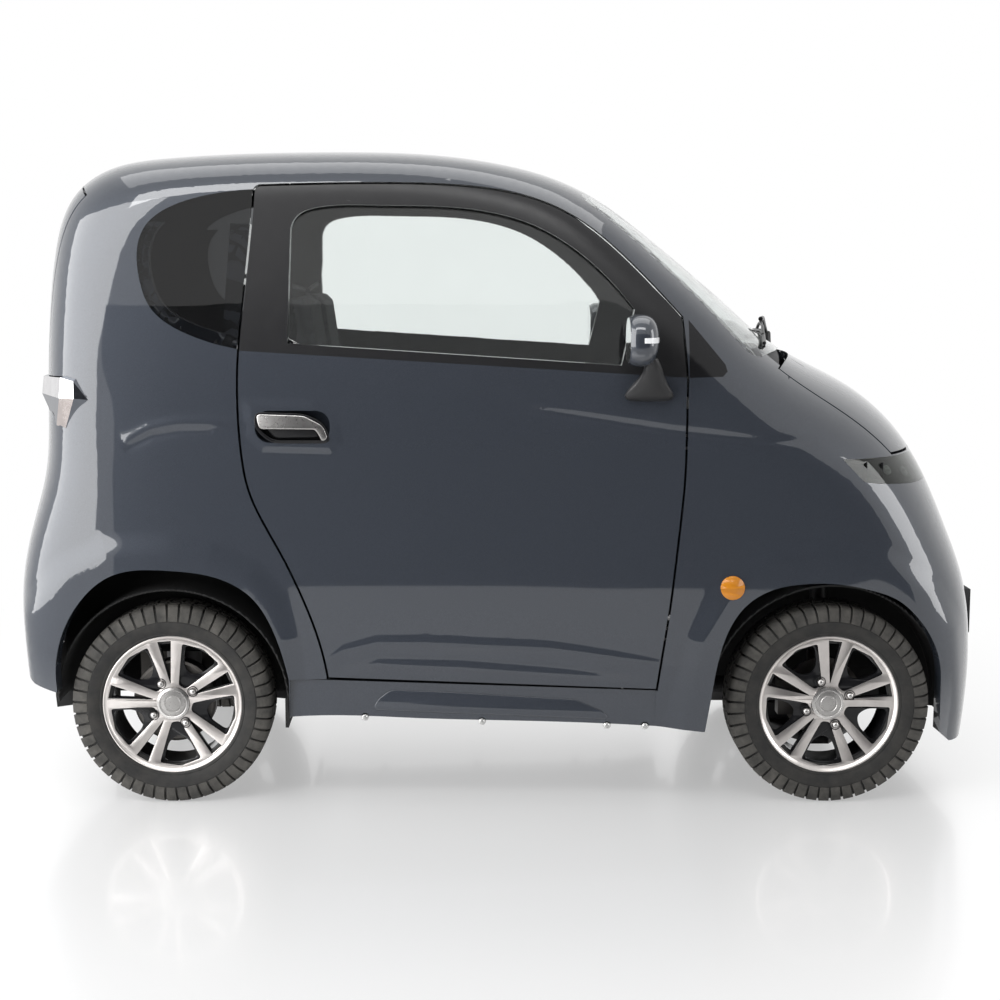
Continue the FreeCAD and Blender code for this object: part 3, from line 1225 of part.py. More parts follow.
def rear_axle():
    """Axle tube with spring seats and backing plates."""
    tip = WHEEL_Y - DRUM_BACK_INSET
    tube = rod(AXLE_TUBE_RADIUS, vec(REAR_AXLE_X, -tip, HUB_Z), vec(REAR_AXLE_X, tip, HUB_Z))
    shapes = [tube]
    for side in (1, -1):
        start = vec(REAR_AXLE_X, side * tip, HUB_Z)
        shapes.append(rod(DRUM_RADIUS, start - Y_AXIS * (side * LINER_SHEET), start))
        end = vec(REAR_AXLE_X, side * (WHEEL_Y + STUB_REACH), HUB_Z)
        shapes.append(rod(STUB_RADIUS, start, end))
    return fused(shapes)


def drive_unit():
    half = MOTOR_LENGTH * HALF
    block = box(REAR_AXLE_X - half, REAR_AXLE_X + half, -MOTOR_HALF_WIDTH, MOTOR_HALF_WIDTH,
                HUB_Z - half * HALF, HUB_Z + half)
    tube = rod(AXLE_TUBE_RADIUS, vec(REAR_AXLE_X, -WHEEL_Y, HUB_Z), vec(REAR_AXLE_X, WHEEL_Y, HUB_Z))
    return block.cut(tube)


def rear_suspension():
    """Left coil-over and trailing arm."""
    y = REAR_SPRING_Y
    foot = vec(REAR_AXLE_X, y, HUB_Z)
    top = vec(REAR_AXLE_X, y, TRUNK_FLOOR_Z)
    tube = rod(AXLE_TUBE_RADIUS, foot - Y_AXIS * WHEEL_Y, foot + Y_AXIS * WHEEL_Y)
    strut = rod(STRUT_RADIUS, foot, top)
    spring = rod(SPRING_RADIUS, foot + Z_AXIS * (AXLE_TUBE_RADIUS + STRUT_RADIUS), top - Z_AXIS * OVERRUN)
    front_x = BULKHEAD_X + RAIL_WIDTH
    arm = side_prism(closed([(REAR_AXLE_X, HUB_Z - ARM_THICKNESS), (front_x, FLOOR_Z - RAIL_HEIGHT),
                             (front_x, FLOOR_Z - ARM_THICKNESS), (REAR_AXLE_X, HUB_Z + ARM_THICKNESS)]),
                     RAIL_Y + RAIL_WIDTH * HALF, RAIL_Y + RAIL_WIDTH * HALF + ARM_THICKNESS)
    return [strut.fuse(spring).cut(tube), arm.cut(tube)]


def save(name, shape):
    os.makedirs("parts", exist_ok=True)
    shape.exportStep(os.path.join("parts", name + ".step"))


def lid_hinges(skins, panels):
    """Body side of every hinge, trimmed to the walls that it is bolted to."""
    shapes = []
    low, high = door_hinge_line()
    for spot in (low, high):
        bracket = placed(hinge_bracket(HINGE_REACH, SIDE_WALL), hinge_frame(spot, high - low, Y_AXIS))
        bracket = bracket.cut(panels["fender"])
        shapes += [bracket, mirrored(bracket)]
    spot, normal = bonnet_hinge(skins)
    for side in (1, -1):
        place = hinge_frame(vec(spot.x, side * BONNET_HINGE_Y, spot.z), Y_AXIS, normal)
        shapes.append(placed(hinge_bracket(HINGE_REACH, CROWN_WALL), place).cut(panels["cowl"]))
    spot, normal = tailgate_hinge(skins)
    for side in (1, -1):
        place = hinge_frame(vec(spot.x, side * TAILGATE_HINGE_Y, spot.z), Y_AXIS * -1, normal)
        shapes.append(placed(hinge_bracket(HINGE_REACH, CROWN_WALL), place).cut(panels["roof"]))
    return Part.makeCompound(shapes)


def bonnet_hinge(skins):
    x = BONNET_REAR_X - BONNET_REAR_BOW * (BONNET_HINGE_Y / BONNET_HALF_WIDTH) ** 2
    return crown_hinge_spot(skins.outer, vec(x, BONNET_HINGE_Y, FIREWALL_TOP_Z), Z_AXIS, Y_AXIS)


def tailgate_hinge(skins):
    x, z = side_points(TAILGATE_CUT_SHARES)[0]
    top_x, top_z = side_points(TAILGATE_CUT_SHARES)[1]
    direction = vec(top_x - x, 0, top_z - z).normalize()
    return crown_hinge_spot(skins.outer, vec(x, TAILGATE_HINGE_Y, z), direction, Y_AXIS * -1)


def lid_parts(spot, normal, along, reach_y):
    pockets, leaves = [], []
    for side in (1, -1):
        place = hinge_frame(vec(spot.x, side * reach_y, spot.z), along, normal)
        pockets.append(placed(hinge_pocket(), place))
        leaves.append(placed(hinge_leaf(), place))
    return pockets, leaves


def main():
    skins = Skins()
    cuts = Openings()
    left_fender = fender(skins, cuts)
    cowl = cowl_panel(skins, cuts)
    roof = roof_panel(skins, cuts)
    save("roof_panel", roof)
    save("cowl_panel", cowl)
    save("front_bumper", front_bumper(skins, cuts))
    save("plate_carrier", plate_carrier(skins))
    save("rear_valance", rear_valance(skins, cuts))
    save("windscreen_frame", windscreen_frame(skins, cuts))
    save("windscreen", windscreen(skins))
    save("corner_trims", both_sides(corner_trim(skins, cuts)))
    save("headlamps", headlamps(skins, cuts))
    save("tail_lamps", tail_lamps(skins, cuts))
    save("side_indicators", side_indicators(skins))
    save("sills", sills())
    save("quarter_glass", both_sides(quarter_pane(skins, cuts)))
    pan = floor_pan(skins)
    save("floor_pan", pan)
    save("chassis_frame", chassis_frame())
    save("wheel_liners", wheel_liners(skins))
    save("seats", both_sides(seat()))
    save("battery_block", battery_block())
    save("dashboard", dashboard(skins))
    save("driver_controls", Part.makeCompound([shape.cut(pan) for shape in driver_controls()]))
    save("steering_wheel", steering_wheel())
    save("drive_unit", drive_unit())
    save("rear_axle", rear_axle())
    suspension = []
    for shape in front_suspension() + rear_suspension():
        suspension += [shape, mirrored(shape)]
    save("suspension", Part.makeCompound(suspension))
    save("lid_hinges", lid_hinges(skins, {"fender": left_fender, "cowl": cowl, "roof": roof}))
    spot, normal = bonnet_hinge(skins)
    pockets, leaves = lid_parts(spot, normal, Y_AXIS, BONNET_HINGE_Y)
    save("bonnet", fused([bonnet_panel(skins, pockets)] + leaves))
    spot, normal = tailgate_hinge(skins)
    pockets, leaves = lid_parts(spot, normal, Y_AXIS * -1, TAILGATE_HINGE_Y)
    save("tailgate", fused([tailgate_panel(skins, pockets)] + leaves))
    save("tailgate_glass", tailgate_glass(skins))
    left_quarter = quarter_panel(skins, cuts).cut(roof)
    panel, frame, glass = door_panel(skins), door_frame(skins), door_glass(skins)
    handle, outside_mirror, upright = door_handle().cut(panel), mirror().cut(skins.outer), knuckle()
    front, rear, rubber = front_wheel(), rear_wheel(), tyre()
    for name, side in SIDES:
        save("fender_" + name, on_side(left_fender, side))
        save("quarter_panel_" + name, on_side(left_quarter, side))
        save("door_panel_" + name, on_side(panel, side))
        save("door_frame_" + name, on_side(frame, side))
        save("door_glass_" + name, on_side(glass, side))
        save("door_handle_" + name, on_side(handle, side))
        save("mirror_" + name, on_side(outside_mirror, side))
        save("knuckle_" + name, on_side(upright, side))
        save("rim_front_" + name, at_wheel(front, FRONT_AXLE_X, side))
        save("rim_rear_" + name, at_wheel(rear, REAR_AXLE_X, side))
        save("tyre_front_" + name, at_wheel(rubber, FRONT_AXLE_X, side))
        save("tyre_rear_" + name, at_wheel(rubber, REAR_AXLE_X, side))


if __name__ == "__main__":
    main()
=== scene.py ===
import json
import logging
import math
from dataclasses import dataclass
from enum import Enum

import bmesh
import bpy
import numpy as np
from mathutils import Matrix, Vector
from mathutils.bvhtree import BVHTree

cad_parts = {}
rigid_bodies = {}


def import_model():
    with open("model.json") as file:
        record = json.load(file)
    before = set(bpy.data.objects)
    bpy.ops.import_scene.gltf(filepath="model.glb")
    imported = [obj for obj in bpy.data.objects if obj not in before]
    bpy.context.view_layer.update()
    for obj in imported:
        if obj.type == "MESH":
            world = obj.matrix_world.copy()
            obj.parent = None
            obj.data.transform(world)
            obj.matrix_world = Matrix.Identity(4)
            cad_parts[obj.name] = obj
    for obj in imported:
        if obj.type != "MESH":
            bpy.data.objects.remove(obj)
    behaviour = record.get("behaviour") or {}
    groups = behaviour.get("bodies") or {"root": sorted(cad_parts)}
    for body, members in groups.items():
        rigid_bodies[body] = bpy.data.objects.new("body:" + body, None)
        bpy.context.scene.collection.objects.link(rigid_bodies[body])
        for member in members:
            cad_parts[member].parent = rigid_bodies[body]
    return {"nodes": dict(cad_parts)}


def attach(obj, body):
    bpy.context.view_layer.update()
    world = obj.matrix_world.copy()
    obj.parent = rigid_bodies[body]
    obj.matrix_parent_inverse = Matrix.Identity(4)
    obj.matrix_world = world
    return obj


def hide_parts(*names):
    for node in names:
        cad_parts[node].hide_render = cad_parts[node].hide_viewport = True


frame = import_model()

MM = 0.001
SIDES = (("left", 1.0), ("right", -1.0))
WHITE = (1.0, 1.0, 1.0, 1.0)
LOG = logging.getLogger("microcar")


class Grain(Enum):
    """Kinds of fine relief that a plastic or cloth finish carries."""

    LEATHERY = "leathery"
    WOVEN = "woven"
    SMOOTH = "smooth"


# Node helpers
class NodeGraph:
    """Adds nodes to one node tree and joins them."""

    def __init__(self, tree: bpy.types.NodeTree) -> None:
        """Starts on an emptied node tree."""
        self.tree = tree
        self.tree.nodes.clear()

    def node(self, kind: str, *sources, operation: str | None = None, **named) -> bpy.types.Node:
        """Adds a node.

        Args:
            kind: Blender's node type.
            sources: Sockets or plain values for its first inputs, in order.
            operation: What a node of arithmetic does.
            named: Sockets or plain values for inputs by name, with spaces written as underscores.

        Returns:
            The new node.
        """
        made = self.tree.nodes.new(kind)
        if operation:
            made.operation = operation
        for source, target in zip(sources, made.inputs):
            self.feed(source, target)
        self.fill(made, named)
        return made

    def fill(self, node: bpy.types.Node, named: dict) -> None:
        """Feeds a node's inputs by name, with spaces written as underscores."""
        for name, source in named.items():
            self.feed(source, node.inputs[name.replace("_", " ")])

    def feed(self, source, target: bpy.types.NodeSocket) -> None:
        """Joins a socket to an input, or sets the input to a plain value."""
        if isinstance(source, bpy.types.NodeSocket):
            self.tree.links.new(source, target)
        else:
            target.default_value = source


class Shader(NodeGraph):
    """Builds one procedural material on object coordinates."""

    def __init__(self, name: str) -> None:
        """Starts a material with its main shader.

        Args:
            name: The material's name.
        """
        self.material = bpy.data.materials.new(name)
        self.material.use_nodes = True
        super().__init__(self.material.node_tree)
        self.output = self.node("ShaderNodeOutputMaterial")
        self.bsdf = self.node("ShaderNodeBsdfPrincipled")
        self.feed(self.bsdf.outputs[0], self.output.inputs[0])
        self.coords = self.node("ShaderNodeTexCoord").outputs["Object"]

    def surface(self, **named) -> None:
        """Sets or drives inputs of the main shader by name."""
        self.fill(self.bsdf, named)

    def noise(self, scale: float, detail: float, roughness: float = 0.5) -> bpy.types.NodeSocket:
        """Noise on object coordinates.

        Args:
            scale: How fine it is.
            detail: How many finer layers it has.
            roughness: How strong they are.

        Returns:
            The value output.
        """
        return self.node("ShaderNodeTexNoise", Vector=self.coords, Scale=scale, Detail=detail,
                         Roughness=roughness).outputs[0]

    def ramp(self, source, low: tuple, high: tuple, start: float = 0.0,
             end: float = 1.0) -> bpy.types.NodeSocket:
        """Colour ramp between two colours.

        Args:
            source: Socket with a 0 to 1 value.
            low: First colour.
            high: Second colour.
            start: Where the first ends.
            end: Where the second starts.

        Returns:
            The colour output.
        """
        made = self.node("ShaderNodeValToRGB", source)
        stops = made.color_ramp.elements
        stops[0].position, stops[1].position = start, end
        stops[0].color, stops[1].color = (*low, 1.0), (*high, 1.0)
        return made.outputs[0]

    def spread(self, source, low: float, high: float) -> bpy.types.NodeSocket:
        """Maps a 0 to 1 value onto a range; returns its output."""
        return self.node("ShaderNodeMapRange", Value=source, To_Min=low, To_Max=high).outputs[0]

    def bump(self, source, distance: float, strength: float) -> None:
        """Lays a height field on the surface, on top of any earlier one.

        Args:
            source: Socket with the height.
            distance: Full height, in metres.
            strength: Share of the effect.
        """
        made = self.node("ShaderNodeBump", Strength=strength, Distance=distance, Height=source)
        normal = self.bsdf.inputs["Normal"]
        if normal.is_linked:
            self.feed(normal.links[0].from_socket, made.inputs["Normal"])
        self.feed(made.outputs[0], normal)


def scaled(values: tuple, share: float) -> tuple:
    """Every value times a share."""
    return tuple(value * share for value in values)


# Finishes
@dataclass(frozen=True)
class Paint:
    """Clear-coated metallic paint with fine flakes and faint orange peel."""

    name: str
    dark: tuple
    light: tuple
    metallic: float = 0.25
    roughness: float = 0.40
    coat_ior: float = 1.6
    flake_scale: float = 1400.0
    peel_scale: float = 260.0

    def build(self) -> bpy.types.Material:
        """Makes the paint's material."""
        shader = Shader(self.name)
        flakes = shader.noise(self.flake_scale, detail=1.0)
        shader.surface(Base_Color=shader.ramp(flakes, self.dark, self.light, start=0.35, end=0.7),
                       Roughness=shader.spread(flakes, self.roughness - 0.05, self.roughness + 0.05),
                       Metallic=self.metallic, Specular_IOR_Level=0.1, Coat_Weight=1.0, Coat_Roughness=0.025,
                       Coat_IOR=self.coat_ior)
        shader.bump(shader.noise(self.peel_scale, detail=1.0), distance=0.00002, strength=0.25)
        return shader.material


@dataclass(frozen=True)
class Plastic:
    """Moulded plastic or woven cloth, grained or smooth."""

    name: str
    color: tuple
    roughness: float
    grain: Grain = Grain.LEATHERY
    grain_scale: float = 900.0
    depth: float = 0.00012
    specular: float = 0.28

    def build(self) -> bpy.types.Material:
        """Makes the plastic's material."""
        shader = Shader(self.name)
        cloud, wear = shader.noise(scale=14.0, detail=4.0), shader.noise(scale=60.0, detail=3.0)
        shader.surface(Base_Color=shader.ramp(cloud, scaled(self.color, 0.75), self.color),
                       Roughness=shader.spread(wear, self.roughness - 0.06, self.roughness + 0.06),
                       Specular_IOR_Level=self.specular)
        if self.grain is Grain.LEATHERY:
            cells = shader.node("ShaderNodeTexVoronoi", Vector=shader.coords, Scale=self.grain_scale)
            shader.bump(cells.outputs["Distance"], self.depth, strength=0.5)
        elif self.grain is Grain.WOVEN:
            for axis in ("X", "Z"):
                threads = shader.node("ShaderNodeTexWave", Vector=shader.coords, Scale=self.grain_scale,
                                      Distortion=0.6)
                threads.bands_direction = axis
                shader.bump(threads.outputs[1], self.depth, strength=0.6)
        else:
            shader.bump(shader.noise(self.grain_scale, detail=2.0), self.depth * 0.2, strength=0.3)
        return shader.material


@dataclass(frozen=True)
class Metal:
    """Bare metal with fine scratches and stains, turned about a wheel's axle where one is given."""

    name: str
    color: tuple
    roughness: float
    scratch: float = 0.00003
    axle: tuple | None = None

    def build(self) -> bpy.types.Material:
        """Makes the metal's material."""
        shader = Shader(self.name)
        stain, wear = shader.noise(scale=30.0, detail=5.0), shader.noise(scale=220.0, detail=3.0)
        shader.surface(Metallic=1.0,
                       Base_Color=shader.ramp(stain, scaled(self.color, 0.82), self.color, 0.2, 0.7),
                       Roughness=shader.spread(wear, self.roughness - 0.04, self.roughness + 0.05))
        if self.axle is None:
            shader.bump(shader.noise(scale=500.0, detail=3.0), self.scratch, strength=0.4)
            return shader.material
        centred = shader.node("ShaderNodeMapping", Vector=shader.coords, Location=scaled(self.axle, -1.0))
        rings = shader.node("ShaderNodeTexWave", Vector=centred.outputs[0], Scale=420.0, Distortion=0.4)
        rings.wave_type = "RINGS"
        rings.rings_direction = "Y"
        shader.bump(rings.outputs[1], self.scratch, strength=0.5)
        return shader.material


@dataclass(frozen=True)
class Glass:
    """Clear or tinted glass with a trace of dust."""

    name: str
    color: tuple
    ior: float = 1.45

    def build(self) -> bpy.types.Material:
        """Makes the glass's material."""
        shader = Shader(self.name)
        dust = shader.noise(scale=9.0, detail=5.0)
        shader.surface(Base_Color=shader.ramp(dust, scaled(self.color, 0.96), self.color),
                       Roughness=shader.spread(dust, 0.0, 0.015), IOR=self.ior, Transmission_Weight=1.0)
        return shader.material


@dataclass(frozen=True)
class Rubber:
    """Dusty tyre rubber."""

    name: str
    color: tuple = (0.014, 0.014, 0.014)
    dust: tuple = (0.034, 0.032, 0.029)

    def build(self) -> bpy.types.Material:
        """Makes the rubber's material."""
        shader = Shader(self.name)
        dust = shader.noise(scale=28.0, detail=6.0, roughness=0.65)
        wear = shader.noise(scale=90.0, detail=3.0)
        shader.surface(Base_Color=shader.ramp(dust, self.color, self.dust, start=0.35, end=0.85),
                       Roughness=shader.spread(wear, 0.62, 0.82), Specular_IOR_Level=0.25)
        shader.bump(shader.noise(scale=700.0, detail=3.0), distance=0.0002, strength=0.5)
        return shader.material


FINISHES = {
    "paint": Paint("slate_paint", (0.021, 0.025, 0.033), (0.039, 0.045, 0.057)),
    "black": Plastic("grained_black", (0.022, 0.022, 0.024), 0.55),
    "satin": Plastic("satin_black", (0.012, 0.012, 0.013), 0.32, Grain.SMOOTH),
    "gloss": Plastic("gloss_black", (0.009, 0.009, 0.010), 0.12, Grain.SMOOTH),
    "liner": Plastic("liner_black", (0.012, 0.012, 0.012), 0.8, Grain.LEATHERY, 300.0, 0.0004),
    "chassis": Plastic("chassis_black", (0.02, 0.02, 0.021), 0.45, Grain.SMOOTH),
    "cloth": Plastic("seat_cloth", (0.035, 0.036, 0.04), 0.85, Grain.WOVEN, 260.0, 0.0005),
    "glass": Glass("window_glass", (0.93, 0.96, 0.95)),
    "tint": Glass("tinted_glass", (0.16, 0.165, 0.17)),
    "smoke": Glass("smoked_lens", (0.26, 0.28, 0.26), 1.35),
    "chrome": Metal("bright_chrome", (0.86, 0.87, 0.88), 0.07, 0.00001),
    "alloy": Metal("bare_alloy", (0.42, 0.41, 0.40), 0.28),
    "cast": Metal("cast_steel", (0.09, 0.085, 0.08), 0.5, 0.0002),
    "steel": Metal("plated_steel", (0.55, 0.55, 0.54), 0.3),
    "disc_front": Metal("turned_disc", (0.16, 0.15, 0.14), 0.4, 0.00006, (0.808, 0.0, 0.248)),
    "face_front": Metal("turned_face_front", (0.56, 0.53, 0.51), 0.3, 0.00003, (0.808, 0.0, 0.248)),
    "face_rear": Metal("turned_face_rear", (0.56, 0.53, 0.51), 0.3, 0.00003, (-0.808, 0.0, 0.248)),
    "amber": Plastic("amber_lens", (0.50, 0.185, 0.014), 0.15, Grain.SMOOTH),
    "led": Plastic("led_white", (0.82, 0.83, 0.84), 0.2, Grain.SMOOTH),
    "housing": Plastic("lamp_housing", (0.030, 0.032, 0.030), 0.3, Grain.SMOOTH),
    # Tail-lamp facets: one lamp material in three tones set by which way each facet faces. These are a lit
    # tone (painted highlight), a dark tone (painted shade) and a darker warm tone (painted shade with a warm
    # tint).
    "gem_painted_shade": Metal("lamp_gem_painted_shade", (0.16, 0.17, 0.19), 0.14, 0.00001),
    "gem_shaded_warm": Metal("lamp_gem_shaded_warm", (0.60, 0.54, 0.52), 0.14, 0.00001),
    "gem": Metal("lamp_gem", (0.72, 0.71, 0.72), 0.12, 0.00001),
    "tyre": Rubber("tyre_rubber"),
    "tread": Rubber("tyre_tread", (0.030, 0.029, 0.027), (0.085, 0.080, 0.072)),
}
MATERIALS: dict = {}


def finish(name: str) -> bpy.types.Material:
    """The material of a finish, built once."""
    if name not in MATERIALS:
        MATERIALS[name] = FINISHES[name].build()
    return MATERIALS[name]


# The body's skin, from the same rows as the solid model
@dataclass(frozen=True)
class SkinShape:
    """Rows and widths of the body skin, in millimetres once scaled."""

    length: float = 2440.0
    height: float = 1607.0
    half_width: float = 583.0
    foot_z: float = 120.0
    hoop_count: int = 34
    corner_steps: int = 9
    side_steps: int = 8
    degree: int = 3
    rows: tuple = (
        (-0.4877, 0.0747, -0.4139, 0.0747, 4.5), (-0.4967, 0.2278, -0.4221, 0.2278, 4.5),
        (-0.4996, 0.3111, -0.4262, 0.3111, 4.5), (-0.4947, 0.3927, -0.4201, 0.3983, 4),
        (-0.4766, 0.4729, -0.4098, 0.4729, 3), (-0.4709, 0.56, -0.4037, 0.56, 3),
        (-0.4709, 0.6845, -0.3996, 0.6783, 3), (-0.4672, 0.8065, -0.3934, 0.7716, 3),
        (-0.4607, 0.8836, -0.3832, 0.8339, 3.2), (-0.4492, 0.9384, -0.3668, 0.8712, 3.4),
        (-0.4246, 0.9708, -0.3443, 0.8899, 3.8), (-0.3689, 0.9882, -0.3033, 0.9023, 4.2),
        (-0.2787, 0.9969, -0.2459, 0.9098, 4.4), (-0.1762, 1, -0.1762, 0.9135, 4.4),
        (-0.0615, 0.9956, -0.0697, 0.9085, 4.4), (0.0164, 0.9782, 0.0041, 0.8867, 4.2),
        (0.084, 0.9459, 0.0492, 0.8525, 3.8), (0.1574, 0.8668, 0.0963, 0.7872, 3.2),
        (0.2463, 0.7554, 0.1639, 0.6907, 2.8), (0.3115, 0.677, 0.2213, 0.5912, 2.4),
        (0.3582, 0.6509, 0.2664, 0.5414, 2.2), (0.4033, 0.6067, 0.3115, 0.4978, 2.2),
        (0.4402, 0.5488, 0.3463, 0.4543, 2.3), (0.4598, 0.4885, 0.3689, 0.4169, 2.4),
        (0.4779, 0.4119, 0.3832, 0.3734, 2.7), (0.4959, 0.3404, 0.3934, 0.3174, 3.2),
        (0.5, 0.2688, 0.3996, 0.2676, 3.8), (0.4992, 0.1867, 0.4037, 0.1867, 4.2),
        (0.4902, 0.0747, 0.4037, 0.0747, 4.2))

    def width_at(self, x: float, z: float) -> float:
        """Half the body's width at a point of its side view.

        Args:
            x: Place along the car.
            z: Height.

        Returns:
            The half width, in millimetres.
        """
        rise, tuck = max(0.0, (z - 980.0) / 480.0), max(0.0, (400.0 - z) / 280.0)
        nose, tail = max(0.0, (x - 700.0) / 400.0), max(0.0, (-760.0 - x) / 400.0)
        return self.half_width - 76.0 * rise ** 1.6 - 16.0 * tuck ** 2 - 46.0 * nose ** 2 - 34.0 * tail ** 2

    def hoop(self, row: list, foot_x: float, flat: bool) -> list:
        """Half hoop from the crown over the shoulder to the foot.

        Args:
            row: Crown, shoulder and power of the hoop.
            foot_x: Where the foot stands.
            flat: Whether it lies at foot height.

        Returns:
            Its points, in millimetres.
        """
        crown_x, crown_z, shoulder_x, shoulder_z, power = row
        points = []
        for step in range(self.corner_steps):
            angle = math.pi / 2 * step / (self.corner_steps - 1)
            size = (math.sin(angle) ** power + math.cos(angle) ** power) ** (1 / power)
            out, fall = math.sin(angle) / size, 1 - math.cos(angle) / size
            x = crown_x + (shoulder_x - crown_x) * fall
            z = crown_z + (shoulder_z - crown_z) * fall
            points.append((x, self.width_at(x, z) * out, z))
        for step in range(1, self.side_steps + 1):
            part = step / self.side_steps
            x = shoulder_x + (foot_x - shoulder_x) * part
            z = shoulder_z + (self.foot_z - shoulder_z) * part
            points.append((x, self.width_at(x, z), z))
        if flat:
            points = [(x, y, self.foot_z) for x, y, z in points]
        return points

    def poles(self) -> np.ndarray:
        """Control points of the whole skin, hoop by hoop."""
        rows = [(a * self.length, b * self.height, c * self.length, d * self.height, e)
                for a, b, c, d, e in self.rows]
        marks = [0.0]
        for before, after in zip(rows, rows[1:]):
            marks.append(marks[-1] + math.hypot(after[0] - before[0], after[1] - before[1]))
        curves = [natural_spline([row[i] for row in rows], marks) for i in range(len(rows[0]))]
        grid = []
        for i in range(self.hoop_count):
            part = i / (self.hoop_count - 1)
            row = [curve(marks[-1] * part) for curve in curves]
            half = self.hoop(row, -960.0 + 1920.0 * part, i in (0, self.hoop_count - 1))
            grid.append([(x, -y, z) for x, y, z in reversed(half)] + half[1:])
        return np.array(grid)


def natural_spline(values: list, marks: list):
    """Cubic curve through values at marks, free at both ends.

    Args:
        values: Values to pass through.
        marks: Their marks.

    Returns:
        The curve as a function of the mark.
    """
    count = len(values)
    steps = [marks[i + 1] - marks[i] for i in range(count - 1)]
    diag, upper, right = [1.0] * count, [0.0] * count, [0.0] * count
    for i in range(1, count - 1):
        gap = (values[i + 1] - values[i]) / steps[i] - (values[i] - values[i - 1]) / steps[i - 1]
        weight = steps[i - 1] / diag[i - 1]
        diag[i] = 2 * (steps[i - 1] + steps[i]) - weight * upper[i - 1]
        upper[i] = steps[i]
        right[i] = 6 * gap - weight * right[i - 1]
    bends = [0.0] * count
    for i in range(count - 2, 0, -1):
        bends[i] = (right[i] - upper[i] * bends[i + 1]) / diag[i]

    def curve(mark: float) -> float:
        """Value at a mark."""
        i = 0
        while i < count - 2 and mark > marks[i + 1]:
            i += 1
        low, high = (marks[i + 1] - mark) / steps[i], (mark - marks[i]) / steps[i]
        lift = (low ** 3 - low) * bends[i] + (high ** 3 - high) * bends[i + 1]
        return low * values[i] + high * values[i + 1] + lift * steps[i] ** 2 / 6
    return curve


def spline_basis(count: int, degree: int, samples: int) -> np.ndarray:
    """Clamped uniform spline basis, one row for each sample.

    Args:
        count: Number of poles.
        degree: Degree of the spline.
        samples: Number of samples.

    Returns:
        Weights of the poles at each sample.
    """
    knots = [0.0] * degree + [float(i) for i in range(count - degree + 1)] + [float(count - degree)] * degree
    marks = np.linspace(0.0, count - degree - 1e-9, samples)
    table = [np.where((marks >= knots[i]) & (marks < knots[i + 1]), 1.0, 0.0) for i in range(len(knots) - 1)]
    for level in range(1, degree + 1):
        fresh = []
        for i in range(len(table) - 1):
            left, right = knots[i + level] - knots[i], knots[i + level + 1] - knots[i + 1]
            part = np.zeros_like(marks)
            if left > 0:
                part = part + (marks - knots[i]) / left * table[i]
            if right > 0:
                part = part + (knots[i + level + 1] - marks) / right * table[i + 1]
            fresh.append(part)
        table = fresh
    return np.array(table).T


class Skin:
    """Dense sample of the body skin that gives places and smooth normals."""

    ALONG = 300
    ACROSS = 220

    def __init__(self) -> None:
        """Samples the skin and its normals."""
        shape = SkinShape()
        poles = shape.poles() * MM
        along = spline_basis(poles.shape[0], shape.degree, self.ALONG)
        across = spline_basis(poles.shape[1], shape.degree, self.ACROSS)
        grid = np.einsum("ia,abk,jb->ijk", along, poles, across)
        normals = np.cross(np.gradient(grid, axis=0), np.gradient(grid, axis=1))
        normals /= np.maximum(np.linalg.norm(normals, axis=2, keepdims=True), 1e-12)
        middle = normals[self.ALONG // 2, self.ACROSS // 2]
        self.normals = normals if middle[2] > 0 else -normals
        self.grid = grid
        flat = [tuple(point) for point in grid.reshape(-1, 3)]
        faces = []
        for i in range(self.ALONG - 1):
            for j in range(self.ACROSS - 1):
                a = i * self.ACROSS + j
                faces.append((a, a + 1, a + self.ACROSS + 1, a + self.ACROSS))
        self.tree = BVHTree.FromPolygons(flat, faces)

    def places(self, points: list) -> tuple:
        """Closest places on the skin for many points.

        Args:
            points: Points in metres.

        Returns:
            Arrays of places, smooth outward normals and distances.
        """
        if not points:
            return np.zeros((0, 3)), np.zeros((0, 3)), np.zeros(0)
        hits = [self.tree.find_nearest(point) for point in points]
        places = np.array([tuple(hit[0]) for hit in hits])
        rows, columns = np.divmod(np.array([hit[2] for hit in hits]), self.ACROSS - 1)
        total, weights = np.zeros_like(places), np.zeros((len(hits), 1))
        for step_row, step_column in ((0, 0), (1, 0), (0, 1), (1, 1)):
            corner = self.grid[rows + step_row, columns + step_column]
            weight = 1.0 / (np.linalg.norm(corner - places, axis=1, keepdims=True) + 1e-5)
            total += self.normals[rows + step_row, columns + step_column] * weight
            weights += weight
        normals = total / weights
        normals /= np.linalg.norm(normals, axis=1, keepdims=True)
        return places, normals, np.array([hit[3] for hit in hits])


# Relief pressed into the side panels
def from_segment(x: np.ndarray, z: np.ndarray, a: tuple, b: tuple) -> tuple:
    """Distance of points from a segment, and the share along it of the closest place.

    Args:
        x: Places along the car.
        z: Heights.
        a: Start of the segment.
        b: Its end.

    Returns:
        Distances and shares.
    """
    across, rise = b[0] - a[0], b[1] - a[1]
    square = max(across ** 2 + rise ** 2, 1e-9)
    part = np.clip(((x - a[0]) * across + (z - a[1]) * rise) / square, 0.0, 1.0)
    return np.hypot(x - a[0] - across * part, z - a[1] - rise * part), part


@dataclass(frozen=True)
class Crease:
    """A groove or ridge along a line of the side view, fading at both ends."""

    points: tuple
    depth: float
    width: float

    def height(self, x: np.ndarray, z: np.ndarray) -> np.ndarray:
        """Relief in millimetres at points of the side view."""
        lengths = [math.dist(a, b) for a, b in zip(self.points, self.points[1:])]
        best, where, run = np.full(x.shape, 1e9), np.zeros(x.shape), 0.0
        for a, b, length in zip(self.points, self.points[1:], lengths):
            gap, part = from_segment(x, z, a, b)
            closer = gap < best
            best = np.where(closer, gap, best)
            where = np.where(closer, (run + part * length) / sum(lengths), where)
            run += length
        fade = np.sqrt(np.sin(math.pi * np.clip(where, 0.0, 1.0)).clip(0.0))
        return self.depth * fade * np.exp(-(best / self.width) ** 2)


